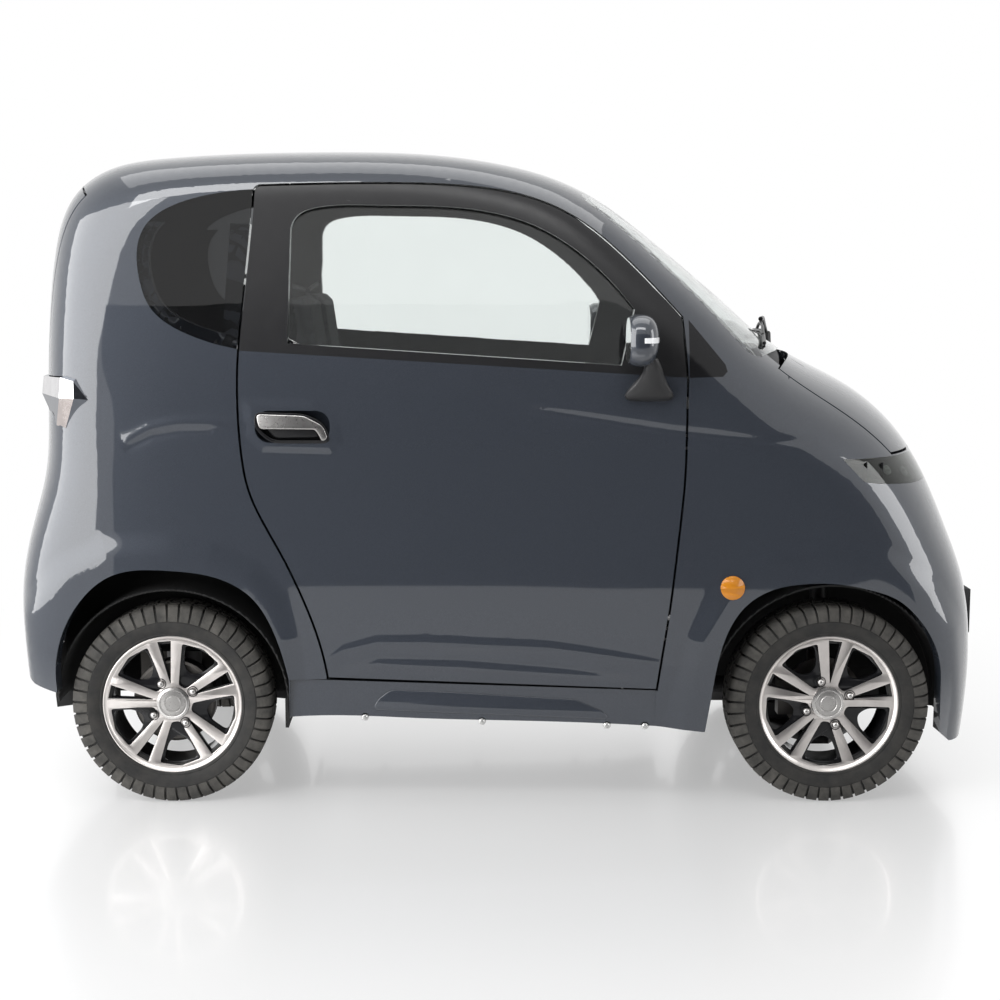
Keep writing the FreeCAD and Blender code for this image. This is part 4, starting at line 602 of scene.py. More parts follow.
@dataclass(frozen=True)
class Raised:
    """A plateau inside a closed outline of the side view, with a soft shoulder."""

    outline: tuple
    lift: float
    shoulder: float

    def height(self, x: np.ndarray, z: np.ndarray) -> np.ndarray:
        """Relief in millimetres at points of the side view."""
        inside, best = np.zeros(x.shape, bool), np.full(x.shape, 1e9)
        for a, b in zip(self.outline, self.outline[1:] + self.outline[:1]):
            if a[1] != b[1]:
                crossing = (b[0] - a[0]) * (z - a[1]) / (b[1] - a[1]) + a[0]
                inside ^= ((a[1] > z) != (b[1] > z)) & (x < crossing)
            best = np.minimum(best, from_segment(x, z, a, b)[0])
        signed = np.where(inside, best, -best)
        share = np.clip(signed / self.shoulder * 0.5 + 0.5, 0.0, 1.0)
        return self.lift * share * share * (3 - 2 * share)


RELIEF = (
    Crease(((-20, 990), (180, 962), (400, 928), (620, 905), (760, 903)), -2.6, 10),
    Crease(((-20, 1012), (300, 974), (620, 930)), 1.4, 16),
    Crease(((-905, 903), (-840, 935), (-780, 948), (-700, 950), (-610, 940)), 3, 15),
    Crease(((-905, 880), (-840, 915), (-770, 926), (-690, 925)), -2.6, 12),
    Crease(((-470, 330), (-380, 392), (-300, 412), (-180, 412), (120, 398), (260, 378),
            (440, 350)), 2.6, 12),
    Crease(((-400, 350), (-300, 378), (-100, 372), (160, 352), (350, 330)), -2.8, 16),
    Raised(((-611, 997), (-450, 992), (-396, 940), (-392, 900), (-410, 880),
            (-570, 884), (-606, 920)), 3, 16),
    Raised(((-1300, 421), (-1150, 500), (-1060, 600), (-960, 652), (-800, 660),
            (-700, 640), (-600, 590), (-545, 520), (-512, 420), (-500, 200),
            (-500, 0), (-1300, 0)), 10, 34),
    Raised(((395, 0), (420, 200), (470, 420), (540, 560), (640, 630), (790, 645),
            (930, 625), (1060, 540), (1130, 430), (1160, 200), (1160, 0)), 7, 30),
)


class ReliefMap:
    """All side relief sampled once over the side view, in metres."""

    LOW = (-1.26, 0.0)
    STEP = 0.002
    COUNT = (1260, 820)

    def __init__(self) -> None:
        """Samples the relief and its slopes."""
        x = (self.LOW[0] + self.STEP * np.arange(self.COUNT[0]))[:, None] / MM
        z = (self.LOW[1] + self.STEP * np.arange(self.COUNT[1]))[None, :] / MM
        x, z = np.broadcast_arrays(x, z)
        self.table = sum(item.height(x, z) for item in RELIEF) * MM
        self.slope_x, self.slope_z = np.gradient(self.table, self.STEP)
        self.fine = (np.abs(self.slope_x) + np.abs(self.slope_z)) > 0.02

    def spot(self, points: np.ndarray) -> tuple:
        """Table row and column, with the shares between them."""
        i = np.clip((points[:, 0] - self.LOW[0]) / self.STEP, 0, self.COUNT[0] - 2)
        j = np.clip((points[:, 2] - self.LOW[1]) / self.STEP, 0, self.COUNT[1] - 2)
        return i.astype(int), j.astype(int), i % 1.0, j % 1.0

    def read(self, table: np.ndarray, points: np.ndarray) -> np.ndarray:
        """Smooth reading of one table at points.

        Args:
            table: Table to read.
            points: Points in metres.

        Returns:
            Its values at the points.
        """
        i, j, u, v = self.spot(points)
        low = table[i, j] * (1 - u) + table[i + 1, j] * u
        high = table[i, j + 1] * (1 - u) + table[i + 1, j + 1] * u
        return low * (1 - v) + high * v


# Mesh helpers
def new_object(name: str, data: bpy.types.ID) -> bpy.types.Object:
    """Adds an object for a mesh, curve, light or camera to the scene."""
    made = bpy.data.objects.new(name, data)
    bpy.context.scene.collection.objects.link(made)
    return made


def mesh_of(name: str, bm: bmesh.types.BMesh, materials: tuple | list = ()) -> bpy.types.Mesh:
    """Plain mesh of a bmesh, which is freed, with its materials.

    Args:
        name: The mesh's name.
        bm: Its shape.
        materials: Its materials.

    Returns:
        The new mesh.
    """
    mesh = bpy.data.meshes.new(name)
    bm.to_mesh(mesh)
    bm.free()
    for item in materials:
        mesh.materials.append(item)
    return mesh


def evaluated_mesh(piece: bpy.types.Object) -> bpy.types.Mesh:
    """New mesh of an object as its modifiers or its curve make it."""
    return bpy.data.meshes.new_from_object(piece.evaluated_get(bpy.context.evaluated_depsgraph_get()))


def from_bmesh(name: str, bm: bmesh.types.BMesh, looks: tuple, smooth_deg: float = 0.0) -> bpy.types.Object:
    """Object from a bmesh, with its finishes and an optional smoothing angle.

    Args:
        name: The object's name.
        bm: Its shape, which is freed.
        looks: Names of its finishes.
        smooth_deg: Edges below this angle are smooth, or 0 for flat faces.

    Returns:
        The new object.
    """
    mesh = mesh_of(name, bm, [finish(look) for look in looks])
    if smooth_deg:
        mesh.shade_smooth()
        mesh.set_sharp_from_angle(angle=math.radians(smooth_deg))
    return new_object(name, mesh)


def join_mesh(target: bmesh.types.BMesh, mesh: bpy.types.Mesh, material_index: int | None = None) -> None:
    """Adds a plain mesh to a bmesh, under one material if said, and removes it.

    Args:
        target: Shape to add to.
        mesh: Mesh to add.
        material_index: Its material, or None to keep its own.
    """
    if material_index is not None:
        for polygon in mesh.polygons:
            polygon.material_index = material_index
    target.from_mesh(mesh)
    bpy.data.meshes.remove(mesh)


def join_into(target: bmesh.types.BMesh, source: bmesh.types.BMesh,
              material_index: int | None = None) -> None:
    """Adds one bmesh to another and frees it."""
    join_mesh(target, mesh_of("part", source), material_index)


def mirror_side(bm: bmesh.types.BMesh, side: float) -> None:
    """Turns a left-hand part into a right-hand one where the side is negative."""
    if side < 0:
        bmesh.ops.scale(bm, vec=(1.0, -1.0, 1.0), verts=bm.verts)
        bmesh.ops.reverse_faces(bm, faces=bm.faces)


def both_sides(part: bmesh.types.BMesh) -> bmesh.types.BMesh:
    """A left part together with its mirror image."""
    twin = part.copy()
    mirror_side(twin, -1.0)
    join_into(part, twin)
    return part


def dress(piece: bpy.types.Object, body: str, slot: str, *nodes: str) -> None:
    """Hands a finished piece to the frame.

    Args:
        piece: The object.
        body: The CAD body that it moves with.
        slot: The record's material slot; not used.
        nodes: The CAD nodes that it stands for.
    """
    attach(piece, body)
    if nodes:
        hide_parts(*nodes)


def solid_bmesh(node: str) -> bmesh.types.BMesh:
    """A CAD node's mesh with its doubled corners merged."""
    bm = bmesh.new()
    bm.from_mesh(frame["nodes"][node].data)
    bm.transform(frame["nodes"][node].matrix_world)
    bmesh.ops.remove_doubles(bm, verts=bm.verts, dist=1e-5)
    bmesh.ops.recalc_face_normals(bm, faces=bm.faces)
    return bm


class SkinPanel:
    """A CAD panel whose outside is laid smoothly on the body skin, with its pressed relief."""

    LONG_EDGE = 0.018
    FINE_EDGE = 0.009
    NEAR = 0.0032
    OUTWARD = 0.8
    INWARD = -0.5
    SIDEWAYS = 0.35
    SHARP_DEG = 28.0
    ROUNDS = 7

    def __init__(self, node: str, skin: Skin, relief: ReliefMap | None) -> None:
        """Keeps what the panel needs.

        Args:
            node: The CAD node.
            skin: The body skin.
            relief: Pressed relief, or None for a plain panel.
        """
        self.node = node
        self.skin = skin
        self.relief = relief

    def mark_outside(self, bm: bmesh.types.BMesh, mark, inner: bool) -> None:
        """Marks the faces on the outer skin, and gives the inner ones the second material.

        Args:
            bm: The panel.
            mark: Face layer that takes the mark.
            inner: Whether the inside has a finish of its own.
        """
        faces = list(bm.faces)
        _, normals, gaps = self.skin.places([face.calc_center_median() for face in faces])
        for face, normal, gap in zip(faces, normals, gaps):
            facing = face.normal.dot(Vector(normal))
            if gap < self.NEAR and facing > self.OUTWARD:
                face[mark] = 1
            elif inner and facing < self.INWARD:
                face.material_index = 1

    def refine(self, bm: bmesh.types.BMesh, mark) -> None:
        """Splits long edges of the marked faces and lays the new points on the skin.

        Args:
            bm: The panel.
            mark: Face layer that holds the mark.
        """
        for _ in range(self.ROUNDS):
            edges = [edge for edge in bm.edges
                     if any(face[mark] for face in edge.link_faces) and edge.calc_length() > self.FINE_EDGE]
            if self.relief and edges:
                middles = np.array([((e.verts[0].co + e.verts[1].co) / 2)[:] for e in edges])
                fine = self.relief.read(self.relief.fine.astype(float), middles) > 0
            else:
                fine = [False] * len(edges)
            edges = [edge for edge, close in zip(edges, fine) if close or edge.calc_length() > self.LONG_EDGE]
            if not edges:
                break
            before = set(bm.verts)
            bmesh.ops.subdivide_edges(bm, edges=edges, cuts=1)
            bmesh.ops.triangulate(bm, faces=[face for face in bm.faces if len(face.verts) > 3])
            fresh = [vert for vert in bm.verts
                     if vert not in before and any(face[mark] for face in vert.link_faces)]
            places, _, _ = self.skin.places([vert.co for vert in fresh])
            for vert, place in zip(fresh, places):
                vert.co = place

    def press(self, verts: list, normals: np.ndarray) -> np.ndarray:
        """Moves points by the relief and tilts their normals with its slope.

        Args:
            verts: Points to move.
            normals: The skin's normals there.

        Returns:
            The tilted normals.
        """
        points = np.array([vert.co[:] for vert in verts])
        share = np.clip((np.abs(normals[:, 1]) - self.SIDEWAYS) / self.SIDEWAYS, 0.0, 1.0)
        lift = self.relief.read(self.relief.table, points) * share
        slope = np.zeros_like(points)
        slope[:, 0] = self.relief.read(self.relief.slope_x, points) * share
        slope[:, 2] = self.relief.read(self.relief.slope_z, points) * share
        slope -= normals * (normals * slope).sum(axis=1, keepdims=True)
        for vert, place in zip(verts, points + normals * lift[:, None]):
            vert.co = place
        tilted = normals - slope
        return tilted / np.linalg.norm(tilted, axis=1, keepdims=True)

    def prepared(self, inner: bool = False) -> tuple:
        """The refined panel, the layer that marks its outside, and the outside's normals by vertex.

        Args:
            inner: Whether the inside has a finish of its own.

        Returns:
            The panel, the layer and the normals.
        """
        bm = solid_bmesh(self.node)
        bmesh.ops.triangulate(bm, faces=bm.faces)
        mark = bm.faces.layers.int.new("outside")
        self.mark_outside(bm, mark, inner)
        self.refine(bm, mark)
        bm.verts.index_update()
        verts = [vert for vert in bm.verts if any(face[mark] for face in vert.link_faces)]
        _, normals, _ = self.skin.places([vert.co for vert in verts])
        if self.relief and verts:
            normals = self.press(verts, normals)
        bm.normal_update()
        return bm, mark, {vert.index: tuple(normal) for vert, normal in zip(verts, normals)}

    def build(self, name: str, material: str, inner: str | None = None) -> bpy.types.Object:
        """Builds the panel.

        Args:
            name: The piece's name.
            material: Finish of the outside and edges.
            inner: Finish of the inside, or None for the same.

        Returns:
            The new object.
        """
        bm, mark, by_vertex = self.prepared(inner is not None)
        outside = [bool(face[mark]) for face in bm.faces]
        mesh = mesh_of(name, bm, [finish(look) for look in (material, inner) if look])
        mesh.shade_smooth()
        mesh.set_sharp_from_angle(angle=math.radians(self.SHARP_DEG))
        loops = [tuple(corner.vector) for corner in mesh.corner_normals]
        for polygon in mesh.polygons:
            if outside[polygon.index]:
                for loop in polygon.loop_indices:
                    loops[loop] = by_vertex[mesh.loops[loop].vertex_index]
        mesh.normals_split_custom_set(loops)
        return new_object(name, mesh)


def smooth_copy(node: str, name: str, materials: tuple, angle: float = 32.0) -> bpy.types.Object:
    """A CAD node's shape as a smooth-shaded piece.

    Args:
        node: The CAD node.
        name: The piece's name.
        materials: Its finishes.
        angle: Edges below it are smooth.

    Returns:
        The new object.
    """
    return from_bmesh(name, solid_bmesh(node), materials, angle)


def bridge(bm: bmesh.types.BMesh, low: list, high: list) -> None:
    """Joins two closed rings of points by faces.

    Args:
        bm: Shape that takes the faces.
        low: First ring.
        high: Second ring.
    """
    for i in range(len(low)):
        j = (i + 1) % len(low)
        bm.faces.new((low[i], low[j], high[j], high[i]))


def turned(radius: float, y: float, angle: float) -> tuple:
    """Place in metres at a radius and a Y in millimetres, turned about the Y axis."""
    return radius * math.sin(angle) * MM, y * MM, radius * math.cos(angle) * MM


def lathe(profile: list | tuple, segments: int) -> bmesh.types.BMesh:
    """Turns a closed outline of (radius, y) points in millimetres about the Y axis.

    Args:
        profile: The outline.
        segments: Number of steps round the axis.

    Returns:
        The turned shape.
    """
    bm = bmesh.new()
    rings = [[bm.verts.new(turned(radius, y, 2 * math.pi * i / segments)) for i in range(segments)]
             for radius, y in profile]
    for low, high in zip(rings, rings[1:] + rings[:1]):
        bridge(bm, low, high)
    bmesh.ops.recalc_face_normals(bm, faces=bm.faces)
    return bm


# Repeats by Geometry Nodes
class Repeat(NodeGraph):
    """Node group that puts a unit shape on points and makes the copies real."""

    def __init__(self, name: str, *inputs: tuple) -> None:
        """Lays out the nodes.

        Args:
            name: The group's name.
            inputs: Labels and kinds of further outside inputs.
        """
        super().__init__(bpy.data.node_groups.new(name, "GeometryNodeTree"))
        inputs += (("Unit", "Object"), ("Material", "Material"))
        self.ids = {label: self.socket(label, "INPUT", kind) for label, kind in inputs}
        self.socket("Geometry", "OUTPUT", "Geometry")
        self.start = self.node("NodeGroupInput")
        info = self.node("GeometryNodeObjectInfo", Object=self.start.outputs["Unit"])
        self.instances = self.node("GeometryNodeInstanceOnPoints", Instance=info.outputs["Geometry"])
        real = self.node("GeometryNodeRealizeInstances", self.instances.outputs[0])
        paint = self.node("GeometryNodeSetMaterial", Geometry=real.outputs[0],
                          Material=self.start.outputs["Material"])
        self.node("NodeGroupOutput", paint.outputs[0])

    def socket(self, label: str, way: str, kind: str) -> str:
        """Adds an outside socket and gives its identifier."""
        made = self.tree.interface.new_socket(name=label, in_out=way, socket_type="NodeSocket" + kind)
        return made.identifier

    def realised(self, base: bpy.types.Mesh, unit: bmesh.types.BMesh, look: str, **values) -> bpy.types.Mesh:
        """Runs the node group once.

        Args:
            base: Mesh that the node group starts from.
            unit: Shape to copy, which is freed.
            look: Finish of the copies.
            values: Further inputs by their labels.

        Returns:
            All the copies as one plain mesh.
        """
        source, host = new_object("unit", mesh_of("unit", unit)), new_object("host", base)
        modifier = host.modifiers.new("copies", "NODES")
        modifier.node_group = self.tree
        for label, value in {**values, "Unit": source, "Material": finish(look)}.items():
            modifier[self.ids[label]] = value
        made = evaluated_mesh(host)
        host.modifiers.remove(modifier)
        bpy.data.objects.remove(host)
        bpy.data.objects.remove(source)
        return made


class AxleRepeat(Repeat):
    """Copies a unit shape evenly round the Y axis."""

    def __init__(self, name: str) -> None:
        """Lays out the nodes that set the turns.

        Args:
            name: The group's name.
        """
        super().__init__(name, ("Count", "Int"), ("Offset", "Float"))
        count, offset = self.start.outputs["Count"], self.start.outputs["Offset"]
        index = self.node("GeometryNodeInputIndex").outputs[0]
        share = self.node("ShaderNodeMath", index, count, operation="DIVIDE").outputs[0]
        turn = self.node("ShaderNodeMath", share, 2 * math.pi, offset, operation="MULTIPLY_ADD")
        rotation = self.node("ShaderNodeCombineXYZ", Y=turn.outputs[0])
        points = self.node("GeometryNodePoints", Count=count)
        self.fill(self.instances, {"Points": points.outputs[0], "Rotation": rotation.outputs[0]})

    def ring(self, unit: bmesh.types.BMesh, count: int, look: str, offset: float) -> bpy.types.Mesh:
        """Ring of copies as a plain mesh, turned by an offset in radians."""
        return self.realised(bpy.data.meshes.new("host"), unit, look, Count=count, Offset=offset)


class PointRepeat(Repeat):
    """Copies a unit shape onto given points."""

    def __init__(self, name: str) -> None:
        """Takes the points from the host.

        Args:
            name: The group's name.
        """
        super().__init__(name, ("Points", "Geometry"))
        self.fill(self.instances, {"Points": self.start.outputs["Points"]})

    def copies(self, unit: bmesh.types.BMesh, spots: list, look: str) -> bpy.types.Mesh:
        """Plain mesh of the unit at every spot, given in millimetres.

        Args:
            unit: Shape to copy, which is freed.
            spots: Where the copies go.
            look: Their finish.

        Returns:
            The mesh.
        """
        points = bpy.data.meshes.new("spots")
        points.from_pydata([tuple(value * MM for value in spot) for spot in spots], [], [])
        return self.realised(points, unit, look)


# Wheels
@dataclass(frozen=True)
class WheelShape:
    """Sizes of a wheel, in millimetres."""

    axle_x: float = 808.0
    y: float = 480.0
    hub_z: float = 248.0
    face_y: float = 50.0
    radius: float = 248.0
    shoulder_blocks: int = 50
    slant_from: float = 48.0
    slant_over: float = 20.0
    lip_radius: float = 172.0
    pair_deg: float = 24.6
    nut_deg: float = 31.3
    nut_circle: float = 57.2
    round_share: float = 0.45


class Wheel:
    """One wheel about its own centre, with the outer face towards +Y."""

    TYRE_PROFILE = ((160, 50), (166, 53.5), (171, 58), (174.5, 60.8), (177, 61.4), (178.5, 60.6),
                    (184, 63.2), (193, 65.8), (202, 67.2), (206.5, 67.4), (207.6, 66.2), (209, 66.2),
                    (210.4, 65.2), (218, 62.4), (226, 59.4), (234, 55.2), (239.5, 50), (241.3, 42),
                    (241.6, 20))

    # Corners as (radius, degrees from the middle)
    POCKET = ((154.0, -20.0), (158.5, 0.0), (154.0, 20.0), (96.0, 18.5), (47.0, 13.0), (47.0, -13.0),
              (96.0, -18.5))
    OPENING = ((151.0, -17.5), (155.0, 0.0), (151.0, 17.5), (100.0, 15.0), (80.0, 0.0), (100.0, -15.0))

    def __init__(self, shape: WheelShape, repeat: AxleRepeat) -> None:
        """Keeps the sizes and the repeat."""
        self.shape = shape
        self.repeat = repeat

    def shoulder_block(self, side: float) -> bmesh.types.BMesh:
        """One shoulder lug wrapped over the tyre's edge."""
        outline = ((209.0, 67.1), (221.0, 66.4), (231.0, 63.4), (239.0, 59.8), (244.5, 55.0), (247.6, 48.0),
                   (247.9, 30.0), (240.5, 30.0), (239.0, 47.0), (229.0, 55.5), (219.0, 60.0), (209.0, 63.0))
        return self.block(outline, side, 12.6, 3.0)

    def block(self, outline: tuple, side: float, half: float, shear: float) -> bmesh.types.BMesh:
        """Block of a (radius, y) outline, half as wide as said, with slanted ends.

        Args:
            outline: Its outline.
            side: 1 for the outer shoulder, -1 for the inner one.
            half: Half its width.
            shear: Slant of its ends.

        Returns:
            The block.
        """
        bm = bmesh.new()
        ends = []
        for sign in (-1.0, 1.0):
            end = []
            for radius, y in outline:
                slant = shear * (y - self.shape.slant_from) / self.shape.slant_over
                angle = (sign * half + slant) / self.shape.radius
                end.append(bm.verts.new(turned(radius, y * side, angle)))
            ends.append(end)
        bridge(bm, *ends)
        bm.faces.new(ends[0])
        bm.faces.new(ends[1])
        bmesh.ops.recalc_face_normals(bm, faces=bm.faces)
        bmesh.ops.bevel(bm, geom=list(bm.edges), offset=0.0007, segments=1, affect="EDGES")
        return bm

    def tyre(self) -> bmesh.types.BMesh:
        """Carcass with its sidewall rings and four rows of tread blocks."""
        half = list(self.TYRE_PROFILE)
        profile = half + [(radius, -y) for radius, y in reversed(half)] + [(152.6, -44.0), (152.6, 44.0)]
        bm = lathe(profile, 120)
        rows = []
        for side in (1.0, -1.0):
            rows.append((self.shoulder_block(side), side * 0.02))
            middle = ((241.0, 5.0), (247.9, 5.0), (247.9, 26.0), (241.0, 26.0))
            rows.append((self.block(middle, side, 12.4, 5.0), side * 0.05))
        for unit, offset in rows:
            join_mesh(bm, self.repeat.ring(unit, self.shape.shoulder_blocks, "tread", offset), 1)
        return bm

    def polar(self, radius: float, degrees: float) -> tuple:
        """Point of the wheel's face, as (x, z)."""
        angle = math.radians(degrees)
        return radius * math.cos(angle), radius * math.sin(angle)

    def pocket(self, centre: float) -> list:
        """Black pocket between two spoke pairs."""
        corners = [self.polar(radius, centre + turn) for radius, turn in self.POCKET]
        return rounded_loop(corners, 8.0, self.shape.round_share)

    def opening(self, centre: float) -> list:
        """Hole through the pocket's floor."""
        corners = [self.polar(radius, centre + turn) for radius, turn in self.OPENING]
        return rounded_loop(corners, 16.0, self.shape.round_share)

    def slot(self, centre: float, shrink: float = 0.0) -> list:
        """Narrow window between the two legs of a pair.

        Args:
            centre: Its middle, in degrees.
            shrink: How much narrower it is than the face's window.

        Returns:
            Its outline.
        """
        wide, thin, foot = 6.3 - shrink, 1.6, 50.0 + shrink * 12
        corners = [self.polar(159.0 - shrink, centre - wide), self.polar(160.0 - shrink, centre + wide),
                   self.polar(foot, centre + thin), self.polar(foot, centre - thin)]
        return rounded_loop(corners, 2.5, self.shape.round_share)

    def plate(self, outer: float, holes: list, y_low: float, y_high: float,
              bevel: float) -> bmesh.types.BMesh:
        """Flat round plate with holes, lying across the axle.

        Args:
            outer: Its radius.
            holes: Outlines of its holes.
            y_low: Where it starts.
            y_high: Where it ends.
            bevel: Rounding of its edges.

        Returns:
            The plate.
        """
        rim = [self.polar(outer, 3.0 * i) for i in range(120)]
        return side_sheet(rim, holes, y_low, y_high, bevel, 1)

    def spokes(self) -> bmesh.types.BMesh:
        """Machined face plate over a black floor plate, dished towards the hub."""
        shape = self.shape
        pairs = [shape.pair_deg + 72.0 * i for i in range(5)]
        between = [centre + 36.0 for centre in pairs]
        face = self.plate(163.0, [self.pocket(c) for c in between] + [self.slot(c) for c in pairs],
                          shape.face_y - 9.0, shape.face_y, 0.9)
        floor = self.plate(161.0, [self.opening(c) for c in between] + [self.slot(c, 0.6) for c in pairs],
                           shape.face_y - 22.0, shape.face_y - 9.2, 0.9)
        for item in face.faces:
            item.material_index = 0 if item.normal.y > 0.9 else 1
        join_into(face, floor, 1)
        for vert in face.verts:
            radius = math.hypot(vert.co.x, vert.co.z) / MM
            share = min(max((radius - 45.0) / 115.0, 0.0), 1.0)
            vert.co.y += (-5.0 + 8.0 * share * share) * MM
        return face

    def nut(self) -> bmesh.types.BMesh:
        """Domed wheel nut in a dark recess."""
        top = self.shape.face_y
        bm = lathe([(13.5, top - 4.6), (13.5, top - 3.0), (11.5, top - 3.0), (11.5, top - 4.6)], 24)
        nut = lathe([(0.01, top + 6.5), (4.0, top + 5.6), (7.0, top + 3.4), (8.6, top), (9.2, top - 5.0),
                     (0.01, top - 5.0)], 24)
        for face in bm.faces:
            face.material_index = 1
        join_into(bm, nut, 2)
        for vert in bm.verts:
            vert.co.z += self.shape.nut_circle * MM
        return bm

    def rim(self) -> bmesh.types.BMesh:
        """Barrel, lip, spokes, centre cap and nuts. Slots: machined, black, alloy."""
        shape = self.shape
        bm = self.spokes()
        lip = lathe([(shape.lip_radius, 58.0), (173.0, 56.0), (172.0, 51.0), (153.0, 44.0), (153.0, 20.0),
                     (160.0, 44.0), (162.0, 53.0), (166.0, 57.0), (169.0, 58.6)], 120)
        join_into(bm, lip, 0)
        barrel = lathe([(160.0, 44.0), (149.0, 38.0), (147.5, -50.0), (160.0, -56.0), (169.0, -58.5),
                        (169.0, -54.0), (153.0, -48.0), (153.0, 40.0)], 96)
        join_into(bm, barrel, 1)
        top = shape.face_y - 5.0
        cap = lathe([(0.01, top + 7.4), (18.0, top + 7.0), (19.0, top + 6.0), (21.0, top + 6.0),
                     (22.0, top + 7.0), (30.0, top + 6.2), (31.0, top + 5.0), (33.0, top + 5.0),
                     (34.0, top + 5.6), (40.0, top + 3.4), (42.0, top), (42.0, top - 12.0),
                     (0.01, top - 12.0)], 64)
        join_into(bm, cap, 2)
        for i in range(4):
            angle = math.radians(shape.nut_deg + 90.0 * i)
            nut = self.nut()
            nut.transform(Matrix.Rotation(math.pi / 2 - angle, 4, "Y"))
            join_into(bm, nut)
        hub = lathe([(25.2, top - 3.0), (46.0, top - 3.0), (50.0, -22.0), (25.2, -22.0)], 48)
        join_into(bm, hub, 1)
        return bm


class Wheels:
    """The four wheels of the car, with the brakes that turn with them."""

    DISC = ((25.2, -42.0), (98.0, -42.0), (98.0, -33.0), (58.0, -33.0), (58.0, -18.0), (25.2, -18.0))
    DRUM = ((25.2, -14.0), (102.0, -14.0), (102.0, 16.0), (96.0, 20.0), (60.0, 22.0), (25.2, 22.0))
    ENDS = (("front", 1.0, "face_front", DISC, "disc_front", WheelShape(pair_deg=13.0, nut_deg=20.0)),
            ("rear", -1.0, "face_rear", DRUM, "cast", WheelShape()))

    def __init__(self) -> None:
        """Makes the repeat that all wheels share."""
        self.repeat = AxleRepeat("round_the_axle")

    def place(self, bm: bmesh.types.BMesh, x: float, side: float) -> None:
        """Moves a wheel part from the axle's centre to its hub, mirrored on the right.

        Args:
            bm: The part.
            x: Place of the axle.
            side: 1 for left, -1 for right.
        """
        shape = WheelShape()
        mirror_side(bm, side)
        bmesh.ops.translate(bm, vec=(x * MM, side * shape.y * MM, shape.hub_z * MM), verts=bm.verts)

    def build(self) -> None:
        """Builds, places and dresses all four wheels."""
        for end, sign, face, brake, brake_look, shape in self.ENDS:
            for side_name, side in SIDES:
                wheel = Wheel(shape, self.repeat)
                body = f"wheel_{end}_{side_name}"
                rubber = wheel.tyre()
                self.place(rubber, sign * shape.axle_x, side)
                tyre = from_bmesh(f"tyre_{end}_{side_name}_tread", rubber, ("tyre", "tread"), 30.0)
                dress(tyre, body, "tyre_rubber", f"tyre_{end}_{side_name}")
                rim = wheel.rim()
                join_into(rim, lathe(brake, 72), 3)
                self.place(rim, sign * shape.axle_x, side)
                looks = (face, "gloss", "alloy", brake_look)
                wheel_rim = from_bmesh(f"rim_{end}_{side_name}_face", rim, looks, 30.0)
                dress(wheel_rim, body, "rim_alloy", f"rim_{end}_{side_name}")


# Body
class Bodywork:
    """All the outside panels."""

    PRESSED = ("fender", "quarter_panel", "door_panel", "front_bumper")

    def __init__(self, skin: Skin) -> None:
        """Keeps the skin that the pieces are laid on."""
        self.skin = skin
        self.relief = ReliefMap()

    def panel(self, node: str, body: str, material: str, slot: str, inner: str | None = None) -> None:
        """Builds and dresses one panel on the skin.

        Args:
            node: The CAD node.
            body: The body that it moves with.
            material: Its finish.
            slot: The record's slot.
            inner: Finish of its inside, or None.
        """
        relief = self.relief if node.startswith(self.PRESSED) else None
        piece = SkinPanel(node, self.skin, relief).build(node + "_skin", material, inner)
        dress(piece, body, slot, node)
        LOG.info("panel %s: %d triangles", node, len(piece.data.polygons))

    def build(self) -> None:
        """Builds every panel."""
        for node in ("roof_panel", "front_bumper", "rear_valance", "windscreen_frame"):
            self.panel(node, "car_body", "paint", "body_paint", "black")
        self.panel("cowl_panel", "car_body", "black", "black_plastic")
        self.panel("bonnet", "bonnet_lid", "paint", "body_paint", "chassis")
        self.panel("tailgate", "tailgate_lid", "paint", "body_paint", "black")
        for side, _ in SIDES:
            self.panel("fender_" + side, "car_body", "paint", "body_paint", "black")
            self.panel("quarter_panel_" + side, "car_body", "paint", "body_paint", "black")
            self.panel("door_panel_" + side, "door_" + side, "paint", "body_paint", "black")
            self.panel("door_frame_" + side, "door_" + side, "satin", "gloss_black", "black")


def side_sheet(outline: list, holes: list, y_low: float, y_high: float, bevel: float,
               bevel_steps: int = 2) -> bmesh.types.BMesh:
    """Bevelled plate across the Y axis, facing +Y, in millimetres.

    Args:
        outline: Its (x, z) outline.
        holes: Outlines of its holes.
        y_low: Where it starts.
        y_high: Where it ends.
        bevel: Size of the rounding of its edges.
        bevel_steps: How fine that rounding is.

    Returns:
        The plate.
    """
    data = bpy.data.curves.new("sheet", "CURVE")
    data.dimensions = "2D"
    data.fill_mode = "BOTH"
    data.extrude = (y_high - y_low) / 2 * MM - bevel * MM
    data.bevel_depth = bevel * MM
    data.bevel_resolution = bevel_steps
    for loop in [outline] + holes:
        spline = data.splines.new("POLY")
        spline.points.add(len(loop) - 1)
        for point, (x, z) in zip(spline.points, loop):
            point.co = (x * MM, z * MM, 0.0, 1.0)
        spline.use_cyclic_u = True
    host = new_object("sheet", data)
    bm = bmesh.new()
    join_mesh(bm, evaluated_mesh(host))
    bpy.data.objects.remove(host)
    middle = (y_high + y_low) / 2 * MM
    for vert in bm.verts:
        vert.co = Vector((vert.co.x, middle + vert.co.z, vert.co.y))
    bmesh.ops.remove_doubles(bm, verts=bm.verts, dist=1e-6)
    bmesh.ops.recalc_face_normals(bm, faces=bm.faces)
    return bm


